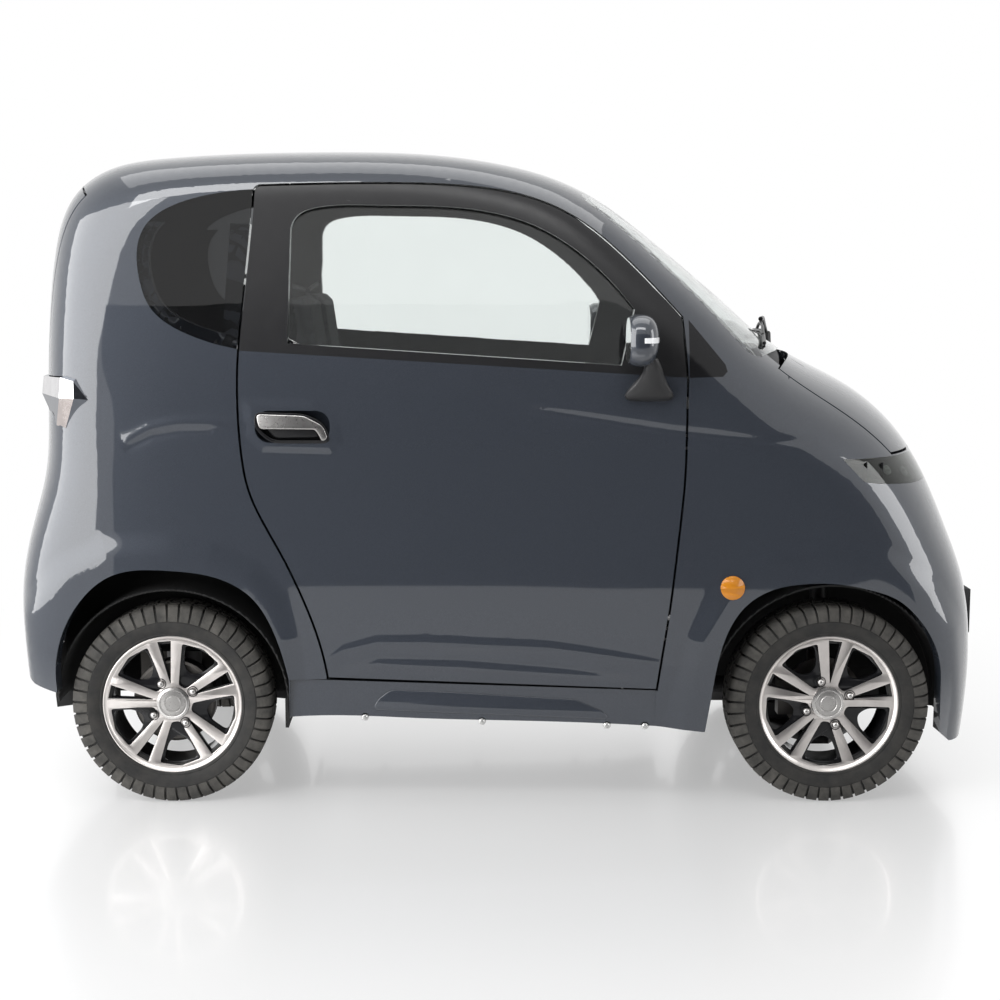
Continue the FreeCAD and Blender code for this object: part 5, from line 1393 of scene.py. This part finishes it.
def rounded_loop(corners: list | tuple, radius: float, reach_share: float = 0.48) -> list:
    """Closed outline with each corner rounded, over at most a share of each side.

    Args:
        corners: The outline's corners.
        radius: How far the rounding reaches.
        reach_share: That share.

    Returns:
        The rounded outline.
    """
    points = []
    count, steps = len(corners), 5
    for i in range(count):
        before, here, after = (Vector(corners[k % count]) for k in (i - 1, i, i + 1))
        back, ahead = (before - here), (after - here)
        reach = min(radius, back.length * reach_share, ahead.length * reach_share)
        start, end = here + back.normalized() * reach, here + ahead.normalized() * reach
        for step in range(steps):
            part = step / (steps - 1)
            points.append(tuple(start * (1 - part) ** 2 + here * 2 * part * (1 - part) + end * part ** 2))
    return points


def loft(rings: list) -> bmesh.types.BMesh:
    """Closed skin over rings of equal point counts, capped at both ends.

    Args:
        rings: Rings of points, in millimetres.

    Returns:
        The shape.
    """
    bm = bmesh.new()
    loops = [[bm.verts.new(tuple(value * MM for value in point)) for point in ring] for ring in rings]
    for low, high in zip(loops, loops[1:]):
        bridge(bm, low, high)
    bm.faces.new(loops[0])
    bm.faces.new(loops[-1])
    bmesh.ops.recalc_face_normals(bm, faces=bm.faces)
    return bm


def tube(points: list, radius: float, sides: int = 10) -> bmesh.types.BMesh:
    """Round bar through points in millimetres.

    Args:
        points: Its middle line.
        radius: Its radius.
        sides: Number of its sides.

    Returns:
        The bar.
    """
    rings = []
    path = [Vector(point) for point in points]
    for i, place in enumerate(path):
        ahead = (path[min(i + 1, len(path) - 1)] - path[max(i - 1, 0)]).normalized()
        across = ahead.orthogonal() if i == 0 else across - ahead * across.dot(ahead)
        across.normalize()
        upward = ahead.cross(across)
        rings.append([place + (across * math.cos(2 * math.pi * k / sides) +
                               upward * math.sin(2 * math.pi * k / sides)) * radius for k in range(sides)])
    return loft(rings)


# Door handle
@dataclass(frozen=True)
class DoorHandle:
    """Pull handle in its cup, with a bright upper lid. Millimetres, left side."""

    cup: tuple = ((-590, 972), (-470, 968), (-424, 944), (-411, 905), (-424, 899),
                  (-552, 899), (-590, 934))
    lid: tuple = ((-584, 966), (-474, 962), (-430, 939), (-419, 912), (-428, 905),
                  (-438, 924), (-446, 934), (-578, 935))
    grip: tuple = ((-560, 934), (-452, 934), (-440, 915), (-540, 912))
    face_y: float = 588.0

    def build(self) -> None:
        """Builds both handles."""
        for side_name, side in SIDES:
            inner = [((x + 502.0) * 0.93 - 502.0, (z - 934.0) * 0.86 + 934.0) for x, z in self.cup]
            rim = side_sheet(rounded_loop(self.cup, 22.0), [rounded_loop(inner, 20.0)],
                             self.face_y - 14.0, self.face_y - 1.0, 1.2)
            floor = side_sheet(rounded_loop(self.cup, 22.0), [], self.face_y - 30.0, self.face_y - 22.0, 1.0)
            join_into(rim, floor, 0)
            lid = side_sheet(rounded_loop(self.lid, 9.0), [], self.face_y - 12.0, self.face_y, 3.0)
            join_into(rim, lid, 1)
            grip = side_sheet(rounded_loop(self.grip, 8.0), [], self.face_y - 22.0, self.face_y - 9.0, 3.0)
            join_into(rim, grip, 2)
            mirror_side(rim, side)
            piece = from_bmesh("door_handle_" + side_name + "_pull", rim, ("gloss", "alloy", "satin"), 35.0)
            dress(piece, "door_" + side_name, "black_plastic", "door_handle_" + side_name)


# Outside mirror
@dataclass(frozen=True)
class OutsideMirror:
    """Painted head on a flared black foot. Millimetres, left side."""

    centre: tuple = (320.0, 652.0, 1146.0)
    half: tuple = (44.0, 74.0, 61.0)
    back: float = 27.0
    roundness: float = 2.5
    foot: tuple = ((350, 584, 999, 40, 7), (350, 588, 1004, 55, 15),
                   (350, 592, 1013, 59, 20), (350, 598, 1026, 52, 24),
                   (351, 606, 1042, 41, 25), (353, 618, 1058, 31, 23),
                   (354, 632, 1072, 24, 21), (352, 644, 1086, 20, 19),
                   (345, 652, 1104, 18, 18))

    def head(self) -> bmesh.types.BMesh:
        """Rounded head with a flat glass at the back and a lamp strip outside."""
        bm = bmesh.new()
        bmesh.ops.create_uvsphere(bm, u_segments=72, v_segments=48, radius=1.0)
        power = self.roundness
        for vert in bm.verts:
            x, y, z = vert.co
            size = (abs(x) ** power + abs(y) ** power + abs(z) ** power) ** (1 / power)
            place = [x / size * self.half[0], y / size * self.half[1], z / size * self.half[2]]
            place[0] = max(place[0], -self.back)
            vert.co = Vector([(a + b) * MM for a, b in zip(place, self.centre)])
        bm.normal_update()
        for face in bm.faces:
            spot = face.calc_center_median() / MM - Vector(self.centre)
            if spot.x < -self.back + 0.5 and math.hypot(spot.y / 66.0, spot.z / 53.0) < 1.0:
                face.material_index = 2
            elif spot.x > 2.0 and spot.y > 20.0 and -4.0 < spot.z < 8.0:
                face.material_index = 3
            elif spot.x < -self.back + 0.5:
                face.material_index = 1
        return bm

    def build(self) -> None:
        """Builds both mirrors."""
        turns = [2 * math.pi * k / 40 for k in range(40)]
        rings = [[(x + wide * math.cos(turn), y + deep * math.sin(turn), z) for turn in turns]
                 for x, y, z, wide, deep in self.foot]
        for side_name, side in SIDES:
            bm = self.head()
            join_into(bm, loft(rings), 1)
            mirror_side(bm, side)
            piece = from_bmesh("mirror_" + side_name + "_head", bm, ("paint", "satin", "chrome", "led"), 40.0)
            dress(piece, "door_" + side_name, "body_paint", "mirror_" + side_name)


# Lamps
class Lamps:
    """Smoked headlamps with their modules, and faceted tail lamps."""

    MODULES = ((952.5, 828.1), (1009.7, 818.6))
    DIVIDERS = ((887.3, 824.0), (932.6, 820.9))
    LENS_WALL = 3.0
    RECESS = 16.0
    FIN_DEPTH = 9.5
    FIN_RISE = 26.0
    FIN_OUTLINE = ((-1.6, -5.5), (1.6, -5.5), (1.0, 5.5), (-1.0, 5.5))
    MODULE_DEPTH = 0.0115
    MODULE = ((0.01, 7.5), (4.0, 6.6), (6.5, 4.2), (7.6, 0.0), (11.5, 2.6), (12.5, 2.6), (12.5, -3.0),
              (0.01, -3.0))
    # Each corner is seen from the side or from behind, at a place across and a height, and stands proud
    GEM = (("rear", 378, 1051, 1), ("side", -1046, 1057, 1), ("side", -1019, 1050, 1),
           ("side", -990, 1001, 1), ("side", -1048, 932, 1), ("side", -1076, 936, 1),
           ("rear", 378, 968, 1), ("rear", 384, 1047, 12), ("side", -1050, 1052, 13),
           ("side", -1022, 1044, 8), ("rear", 384, 1004, 16), ("side", -1050, 1003, 18),
           ("side", -1020, 1003, 11))
    GEM_RIM = 7
    GEM_FACETS = ((0, 1, 8, 7), (1, 2, 9, 8), (7, 8, 11, 10), (8, 9, 12, 11), (9, 2, 3), (9, 3, 12),
                  (10, 11, 5, 6), (11, 4, 5), (11, 12, 4), (12, 3, 4), (0, 7, 10), (0, 10, 6))
    # Painted light by facet: 0 is the lit tone, a painted highlight; 1 is painted shade; 2 is darker painted
    # shade with a warm tint
    GEM_PAINTED_LIGHT = (1, 1, 0, 0, 1, 1, 1, 2, 2, 1, 0, 1)
    GEM_FOOT = 9.0

    def __init__(self, skin: Skin) -> None:
        """Keeps the skin that the pieces are laid on."""
        self.skin = skin

    def on_side(self, x: float, z: float) -> tuple:
        """Place and normal where a line from the left meets the skin, millimetres in."""
        return self.met(Vector((x * MM, 2.0, z * MM)), Vector((0.0, -1.0, 0.0)))

    def met(self, start: Vector, direction: Vector) -> tuple:
        """Finds where a ray meets the skin.

        Args:
            start: Where the ray starts, in metres.
            direction: Where it goes.

        Returns:
            The place on the skin and its outward normal.
        """
        place = self.skin.tree.ray_cast(start, direction)[0]
        if place is None:
            raise ValueError(f"no skin is met from {tuple(start)}")
        _, normals, _ = self.skin.places([place])
        return place, Vector(normals[0])

    def on_rear(self, y: float, z: float) -> tuple:
        """Place and normal where a line from behind meets the skin, millimetres in."""
        return self.met(Vector((-2.0, y * MM, z * MM)), Vector((1.0, 0.0, 0.0)))

    def headlamp(self) -> bmesh.types.BMesh:
        """Left lamp: recessed housing, lens shell, dividers and light modules."""
        panel = SkinPanel("headlamps", self.skin, None)
        bm, mark, normals = panel.prepared()
        outside = [face for face in bm.faces if face[mark] and face.calc_center_median().y > 0]
        lens = self.shell(outside, normals)
        for vert in bm.verts:
            if vert.index in normals:
                vert.co = vert.co - Vector(normals[vert.index]) * self.RECESS * MM
        for face in bm.faces:
            face.material_index = 0
        doomed = [face for face in bm.faces if face.calc_center_median().y < 0]
        bmesh.ops.delete(bm, geom=doomed, context="FACES")
        join_into(bm, lens, 1)
        for x, z in self.DIVIDERS:
            place, normal = self.on_side(x, z)
            join_into(bm, self.fin(place, normal), 2)
        for x, z in self.MODULES:
            place, normal = self.on_side(x, z)
            join_into(bm, self.module(place, normal), 3)
        return bm

    def shell(self, faces: list, normals: dict) -> bmesh.types.BMesh:
        """Closed lens shell under a patch of skin.

        Args:
            faces: The faces of the patch.
            normals: Outward normals by the index of the vertex.

        Returns:
            The shell.
        """
        out = bmesh.new()
        upper, lower = {}, {}
        for face in faces:
            for vert in face.verts:
                if vert.index not in upper:
                    normal = Vector(normals[vert.index])
                    upper[vert.index] = out.verts.new(vert.co)
                    lower[vert.index] = out.verts.new(vert.co - normal * self.LENS_WALL * MM)
        inside = set(faces)
        for face in faces:
            out.faces.new([upper[vert.index] for vert in face.verts])
            out.faces.new([lower[vert.index] for vert in reversed(face.verts)])
            for loop in face.loops:
                around = [other for other in loop.edge.link_faces if other in inside]
                if len(around) == 1:
                    a, b = loop.vert.index, loop.link_loop_next.vert.index
                    out.faces.new((upper[b], upper[a], lower[a], lower[b]))
        return out

    def fin(self, place: Vector, normal: Vector) -> bmesh.types.BMesh:
        """Upright divider under the lens.

        Args:
            place: Place on the skin.
            normal: The skin's normal there.

        Returns:
            The divider.
        """
        centre = place / MM - normal * self.FIN_DEPTH
        across = Vector((0.0, 0.0, 1.0)).cross(normal).normalized()
        rings = []
        for rise in (-self.FIN_RISE, self.FIN_RISE):
            rings.append([centre + Vector((0.0, 0.0, rise)) + across * a + normal * b
                          for a, b in self.FIN_OUTLINE])
        return loft(rings)

    def module(self, place: Vector, normal: Vector) -> bmesh.types.BMesh:
        """Small round light source in a bright cup.

        Args:
            place: Place on the skin.
            normal: The skin's normal there.

        Returns:
            The light source.
        """
        bm = lathe(self.MODULE, 32)
        turn = Vector((0.0, 1.0, 0.0)).rotation_difference(normal).to_matrix().to_4x4()
        bm.transform(Matrix.Translation(place - normal * self.MODULE_DEPTH) @ turn)
        return bm

    def gem(self) -> bmesh.types.BMesh:
        """Left tail lamp, cut in facets like a gem, each facet toned by which way it faces: painted highlight
        on the lit facets, painted shade on the others.
        """
        bm = bmesh.new()
        corners, foot = [], []
        for kind, across, z, proud in self.GEM:
            place, normal = self.on_side(across, z) if kind == "side" else self.on_rear(across, z)
            corners.append(bm.verts.new(place + normal * proud * MM))
            if len(foot) < self.GEM_RIM:
                foot.append(bm.verts.new(place - normal * self.GEM_FOOT * MM))
        for facet, tone in zip(self.GEM_FACETS, self.GEM_PAINTED_LIGHT):
            bm.faces.new([corners[i] for i in facet]).material_index = tone
        bridge(bm, corners[:self.GEM_RIM], foot)
        bm.faces.new(foot)
        bmesh.ops.triangulate(bm, faces=bm.faces)
        bmesh.ops.recalc_face_normals(bm, faces=bm.faces)
        return bm

    def build(self) -> None:
        """Builds all four lamps."""
        looks = ("housing", "smoke", "gloss", "led")
        head = from_bmesh("headlamps_lit", both_sides(self.headlamp()), looks, 30.0)
        dress(head, "car_body", "lamp_lens", "headlamps")
        # The tail lamp's facet tones are painted highlight and painted shade.
        tail = from_bmesh("tail_lamps_cut", both_sides(self.gem()), ("gem", "gem_painted_shade", "gem_shaded_warm"), 12.0)
        dress(tail, "car_body", "lamp_lens", "tail_lamps")


# Wiper
class Wiper:
    """One arm with its blade, laid along the foot of the windscreen."""

    BLADE = ((655.0, -390.0), (672.0, -270.0), (688.0, -130.0), (697.0, 10.0), (700.0, 120.0))
    PIVOT = (735.0, 60.0)

    def __init__(self, skin: Skin) -> None:
        """Keeps the skin that the pieces are laid on."""
        self.skin = skin

    def above(self, x: float, y: float, rise: float) -> Vector:
        """Point above the skin, in millimetres."""
        hit = self.skin.tree.ray_cast(Vector((x * MM, y * MM, 3.0)), Vector((0.0, 0.0, -1.0)))
        return Vector((x, y, hit[0].z / MM + rise))

    def build(self) -> None:
        """Builds the wiper and hands it to the body."""
        rubber = [self.above(x, y, 5.0) for x, y in self.BLADE]
        bm = tube(rubber, 3.4, 8)
        join_into(bm, tube([point + Vector((0.0, 0.0, 8.0)) for point in rubber], 4.6, 8))
        middle = self.above(684.0, -150.0, 34.0)
        yoke = [self.above(668.0, -290.0, 12.0), self.above(678.0, -220.0, 27.0), middle,
                self.above(692.0, -70.0, 27.0), self.above(698.0, 0.0, 12.0)]
        join_into(bm, tube(yoke, 4.2, 8))
        arm = [self.above(*self.PIVOT, 4.0), self.above(*self.PIVOT, 26.0), self.above(724.0, 30.0, 40.0),
               self.above(704.0, -60.0, 52.0), middle + Vector((0.0, 0.0, 8.0))]
        join_into(bm, tube(arm, 6.0, 10))
        cap = lathe([(0.01, 34.0), (9.0, 33.0), (12.0, 28.0), (14.0, -12.0), (0.01, -12.0)], 24)
        foot = Matrix.Translation(self.above(*self.PIVOT, 0.0) * MM)
        cap.transform(foot @ Matrix.Rotation(math.pi / 2, 4, "X"))
        join_into(bm, cap)
        dress(from_bmesh("wiper", bm, ("satin",), 40.0), "car_body", "black_plastic")


# Sills, wheel liners and suspension
class Fittings:
    """Sills with their raised panels and bolts, closed wheel liners, and the suspension."""

    BOLT = ((0.01, 5.2), (4.2, 4.6), (6.0, 3.0), (6.4, 0.0), (9.6, 0.0), (9.6, -2.0), (0.01, -2.0))
    BOLT_SPOTS = ((-332.0, 226.0), (-46.0, 215.0), (259.0, 205.0), (352.0, 204.0))
    SILL = ((-300.0, 268.0), (-268.0, 292.0), (-120.0, 286.0), (180.0, 268.0), (250.0, 238.0), (262.0, 222.0),
            (-310.0, 246.0))
    SILL_Y = 574.0
    AXLE_Z = 248.0
    WEB_Y = 380.0
    WEBS = ((-808.0, 276.0, 322.0), (808.0, 288.0, 322.0))

    def sills(self) -> None:
        """Sills with a raised panel and bolts along the foot."""
        bm = solid_bmesh("sills")
        repeat = PointRepeat("bolts_on_sill")
        for _, side in SIDES:
            plate = side_sheet(rounded_loop(self.SILL, 12.0), [], self.SILL_Y - 2.0, self.SILL_Y + 2.6, 1.6)
            mirror_side(plate, side)
            join_into(bm, plate, 0)
            bolt = lathe(self.BOLT, 20)
            mirror_side(bolt, side)
            spots = [(x, side * self.SILL_Y, z) for x, z in self.BOLT_SPOTS]
            join_mesh(bm, repeat.copies(bolt, spots, "steel"), 1)
        dress(from_bmesh("sills_fitted", bm, ("paint", "steel"), 35.0), "car_body", "body_paint", "sills")

    def liners(self) -> None:
        """Wheel liners with a web round the edge and a splash board before the rear wheel."""
        bm = solid_bmesh("wheel_liners")
        for _, side in SIDES:
            for x, inner, outer in self.WEBS:
                arc = [math.radians(-8.0 + 196.0 * i / 40) for i in range(41)]
                loop = [(x + outer * math.cos(a), self.AXLE_Z + outer * math.sin(a)) for a in arc]
                loop += [(x + inner * math.cos(a), self.AXLE_Z + inner * math.sin(a)) for a in reversed(arc)]
                web = side_sheet(loop, [], self.WEB_Y - 6.0, self.WEB_Y, 1.0)
                mirror_side(web, side)
                join_into(bm, web, 0)
            board = loft([[(x, y, z) for x, y in ((-530.0, 250.0), (-522.0, 250.0), (-522.0, 540.0),
                                                  (-530.0, 540.0))] for z in (190.0, 262.0)])
            mirror_side(board, side)
            join_into(bm, board, 0)
        piece = from_bmesh("wheel_liners_closed", bm, ("liner",), 35.0)
        dress(piece, "car_body", "black_plastic", "wheel_liners")

    def suspension(self) -> None:
        """The solid suspension, shaded smooth."""
        piece = smooth_copy("suspension", "suspension_smooth", ("chassis",), 40.0)
        dress(piece, "car_body", "chassis_black", "suspension")

    def build(self) -> None:
        """Builds all the fittings."""
        self.sills()
        self.liners()
        self.suspension()


# Seats
class Seats:
    """Two padded seats, swelled by a cloth simulation where time allows."""

    VOXEL = 0.0055
    CAP = 0.014
    PRESSURE = 4.0
    FRAMES = 20
    SHRUNK = 0.97
    EDGE_ANGLE = 0.3
    EDGE_ROUND = 0.024

    def block(self) -> bmesh.types.BMesh:
        """Left seat's solid, slightly shrunk so that it may swell."""
        bm = solid_bmesh("seats")
        bmesh.ops.delete(bm, geom=[vert for vert in bm.verts if vert.co.y < 0], context="VERTS")
        centre = sum((vert.co for vert in bm.verts), Vector()) / len(bm.verts)
        for vert in bm.verts:
            vert.co = centre + (vert.co - centre) * self.SHRUNK
        edges = [edge for edge in bm.edges if edge.calc_face_angle(0.0) > self.EDGE_ANGLE]
        bmesh.ops.bevel(bm, geom=edges, offset=self.EDGE_ROUND, segments=3, affect="EDGES")
        return bm

    def swell(self, piece: bpy.types.Object) -> None:
        """Remeshes and inflates the seat, within the cap."""
        remesh = piece.modifiers.new("remesh", "REMESH")
        remesh.mode = "VOXEL"
        remesh.voxel_size = self.VOXEL
        mesh = evaluated_mesh(piece)
        piece.modifiers.clear()
        piece.data = mesh
        start = [vert.co.copy() for vert in mesh.vertices]
        cloth = piece.modifiers.new("cloth", "CLOTH")
        cloth.settings.use_pressure = True
        cloth.settings.uniform_pressure_force = self.PRESSURE
        cloth.settings.effector_weights.gravity = 0.0
        scene = bpy.context.scene
        for step in range(1, self.FRAMES + 1):
            scene.frame_set(step)
        swelled = evaluated_mesh(piece)
        piece.modifiers.clear()
        for vert, place in zip(swelled.vertices, start):
            move = vert.co - place
            if move.length > self.CAP:
                move = move.normalized() * self.CAP
            vert.co = place + move
        piece.data = swelled
        scene.frame_set(1)

    def build(self) -> None:
        """Builds both seats."""
        half = from_bmesh("seat_pad", self.block(), ("cloth",))
        self.swell(half)
        bm = bmesh.new()
        bm.from_mesh(half.data)
        bpy.data.objects.remove(half)
        seats = from_bmesh("seats_padded", both_sides(bm), ("cloth",))
        seats.data.shade_smooth()
        dress(seats, "car_body", "seat_fabric", "seats")
        LOG.info("seats: %d triangles", len(seats.data.polygons))


class PlainParts:
    """Pieces whose solid keeps its shape and only gains smooth faces and a finish."""

    TABLE = {
        "windscreen": ("glass", "clear_glass"), "corner_trims": ("gloss", "gloss_black"),
        "side_indicators": ("amber", "amber_lens"), "quarter_glass": ("tint", "tinted_glass"),
        "floor_pan": ("liner", "black_plastic"), "chassis_frame": ("chassis", "chassis_black"),
        "battery_block": ("chassis", "chassis_black"),
        "dashboard": ("black", "black_plastic"), "driver_controls": ("black", "black_plastic"),
        "drive_unit": ("cast", "cast_metal"), "rear_axle": ("chassis", "chassis_black"),
        "lid_hinges": ("steel", "hinge_steel"), "plate_carrier": ("black", "black_plastic"),
    }
    MOVING = {"steering_wheel": ("steering", "black", "black_plastic"),
              "tailgate_glass": ("tailgate_lid", "tint", "tinted_glass")}

    def build(self) -> None:
        """Builds every plain piece."""
        rows = [(node, "car_body", look, slot) for node, (look, slot) in self.TABLE.items()]
        rows += [(node, body, look, slot) for node, (body, look, slot) in self.MOVING.items()]
        for side_name, _ in SIDES:
            rows.append(("door_glass_" + side_name, "door_" + side_name, "glass", "clear_glass"))
            rows.append(("knuckle_" + side_name, "steering_knuckle_" + side_name, "cast", "cast_metal"))
        for node, body, look, slot in rows:
            dress(smooth_copy(node, node + "_smooth", (look,)), body, slot, node)


# Studio
@dataclass(frozen=True)
class Camera:
    """The photograph's camera."""

    place: tuple = (-0.100, -4.8675, 1.319)
    pitch_deg: float = 7.415
    lens: float = 64.8
    shift_x: float = 0.04

    def build(self) -> None:
        """Creates the camera and makes it the scene's own."""
        data = bpy.data.cameras.new("camera")
        data.lens = self.lens
        data.sensor_width = 36.0
        data.shift_x = self.shift_x
        data.clip_end = 100.0
        made = new_object("camera", data)
        made.location = self.place
        made.rotation_euler = (math.radians(90.0 - self.pitch_deg), 0.0, 0.0)
        bpy.context.scene.camera = made


@dataclass(frozen=True)
class Studio:
    """Pale floor, white surroundings, soft lights and a dark wall on the camera's side.

    Rays from the camera, off gloss and through glass all meet the white floor and surroundings, but gloss
    shows the wall where the wall stands before them.
    """

    floor_glow: float = 0.40
    floor_mirror: float = 0.50
    floor_polish: float = 0.30
    floor_near: float = 1.0
    floor_far: float = 2.7
    floor_reach: float = 60.0
    ambient: float = 0.30
    upward: tuple = (-0.22, 0.86, 0.46)
    sky: tuple = ((0.12, (0.30, 0.31, 0.33, 1.0)), (0.46, (0.52, 0.53, 0.55, 1.0)), (0.74, WHITE))
    floor_tones: tuple = ((0.90, 0.90, 0.90), (0.93, 0.93, 0.93))
    lamps: tuple = (("top_soft", (0.0, 0.4, 4.8), (0.0, 0.0, 0.6), (5.5, 3.0), 95.0),
                    ("rear_soft", (-4.0, -1.7, 2.0), (-1.85, 0.39, 1.2), (5.6, 4.0), 360.0),
                    ("front_soft", (5.2, -1.6, 1.9), (1.1, -0.4, 0.7), (2.0, 3.4), 100.0),
                    ("side_soft", (-0.6, -4.2, 5.4), (0.0, 0.0, 0.7), (5.0, 1.2), 140.0))
    wall_color: tuple = (0.07, 0.07, 0.075)
    wall_left: float = -2.0
    wall_right: float = 3.9
    wall_y: float = -3.6
    wall_top: float = 2.2

    def background_rays(self, graph: NodeGraph) -> bpy.types.NodeSocket:
        """Joins the kinds of ray that see the white background.

        Args:
            graph: Nodes of the floor's material or of the world.

        Returns:
            Socket that is 1 for camera, glossy and transmission rays and 0 for the rest.
        """
        paths = graph.node("ShaderNodeLightPath")
        joined = paths.outputs["Is Camera Ray"]
        for kind in ("Is Glossy Ray", "Is Transmission Ray"):
            joined = graph.node("ShaderNodeMath", joined, paths.outputs[kind], operation="MAXIMUM").outputs[0]
        return joined

    def staged(self, name: str, bm: bmesh.types.BMesh, shader: Shader) -> bpy.types.Object:
        """Adds a piece of staging, which isn't part of the car.

        Args:
            name: Its name.
            bm: Its shape, which is freed.
            shader: Its material.

        Returns:
            The new object.
        """
        made = new_object(name, mesh_of(name, bm, [shader.material]))
        return made

    def floor(self) -> None:
        """Makes the large floor, which is white and keeps the shadow."""
        bm = bmesh.new()
        bmesh.ops.create_grid(bm, x_segments=1, y_segments=1, size=self.floor_reach)
        shader = Shader("studio_floor")
        cloud = shader.noise(scale=2.0, detail=3.0)
        shader.surface(Base_Color=shader.ramp(cloud, *self.floor_tones), Roughness=0.07)
        polish = shader.node("ShaderNodeBsdfGlossy", Color=WHITE, Roughness=self.floor_polish)
        ground = shader.node("ShaderNodeMixShader", self.floor_mirror, shader.bsdf.outputs[0],
                             polish.outputs[0])
        away = shader.node("ShaderNodeVectorMath", shader.coords, operation="LENGTH")
        whiter = shader.node("ShaderNodeMapRange", Value=away.outputs["Value"], From_Min=self.floor_near,
                             From_Max=self.floor_far, To_Min=self.floor_glow)
        whiter.interpolation_type = "SMOOTHSTEP"
        share = shader.node("ShaderNodeMath", self.background_rays(shader), whiter.outputs[0],
                            operation="MULTIPLY")
        glow = shader.node("ShaderNodeEmission", Color=WHITE, Strength=1.0)
        mix = shader.node("ShaderNodeMixShader", share.outputs[0], ground.outputs[0], glow.outputs[0])
        shader.feed(mix.outputs[0], shader.output.inputs[0])
        self.staged("floor", bm, shader)

    def wall(self) -> None:
        """Stands a dark wall on the camera's side, for the gloss alone to show."""
        bm = bmesh.new()
        corners = ((self.wall_left, 0.0), (self.wall_right, 0.0), (self.wall_right, self.wall_top),
                   (self.wall_left, self.wall_top))
        bm.faces.new([bm.verts.new((x, self.wall_y, z)) for x, z in corners])
        shader = Shader("studio_wall")
        shader.surface(Base_Color=self.wall_color + (1.0,), Roughness=0.9)
        made = self.staged("wall", bm, shader)
        made.visible_camera = False
        made.visible_diffuse = False
        made.visible_transmission = False
        made.visible_shadow = False

    def light(self, name: str, place: tuple, target: tuple, size: tuple, watts: float) -> None:
        """Adds one rectangular soft light.

        Args:
            name: Name of the light.
            place: Where it stands, in metres.
            target: Point that it faces, in metres.
            size: Width and height, in metres.
            watts: Power.
        """
        data = bpy.data.lights.new(name, "AREA")
        data.shape = "RECTANGLE"
        data.size, data.size_y = size
        data.energy = watts
        made = new_object(name, data)
        made.location = place
        aim = Vector(target) - Vector(place)
        made.rotation_euler = aim.to_track_quat("-Z", "Y").to_euler()

    def world(self) -> None:
        """Makes surroundings that are white to the eye and a soft gradient as light."""
        world = bpy.data.worlds.new("studio")
        bpy.context.scene.world = world
        world.use_nodes = True
        graph = NodeGraph(world.node_tree)
        coords = graph.node("ShaderNodeTexCoord")
        aim = graph.node("ShaderNodeVectorMath", coords.outputs["Generated"], self.upward,
                         operation="DOT_PRODUCT")
        spread = graph.node("ShaderNodeMapRange", Value=aim.outputs["Value"], From_Min=-1.0)
        ramp = graph.node("ShaderNodeValToRGB", spread.outputs[0])
        stops = ramp.color_ramp.elements
        low, middle, high = self.sky
        stops[0].position, stops[0].color = low
        stops[1].position, stops[1].color = high
        stops.new(middle[0]).color = middle[1]
        lit = graph.node("ShaderNodeBackground", Color=ramp.outputs[0], Strength=self.ambient)
        seen = graph.node("ShaderNodeBackground", Color=WHITE)
        mix = graph.node("ShaderNodeMixShader", self.background_rays(graph), lit.outputs[0], seen.outputs[0])
        graph.node("ShaderNodeOutputWorld", mix.outputs[0])

    def build(self) -> None:
        """Builds the whole studio."""
        self.floor()
        self.wall()
        self.world()
        for name, place, target, size, watts in self.lamps:
            self.light(name, place, target, size, watts)
        bpy.context.scene.view_settings.view_transform = "Standard"


def main() -> None:
    """Builds the scene in order."""
    logging.basicConfig(level=logging.INFO, format="%(relativeCreated)6d %(message)s")
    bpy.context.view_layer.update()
    Camera().build()
    Studio().build()
    skin = Skin()
    LOG.info("skin sampled")
    Bodywork(skin).build()
    PlainParts().build()
    DoorHandle().build()
    OutsideMirror().build()
    Lamps(skin).build()
    Wiper(skin).build()
    Fittings().build()
    LOG.info("fittings built")
    Wheels().build()
    LOG.info("wheels built")
    Seats().build()


if __name__ == "__main__":
    main()
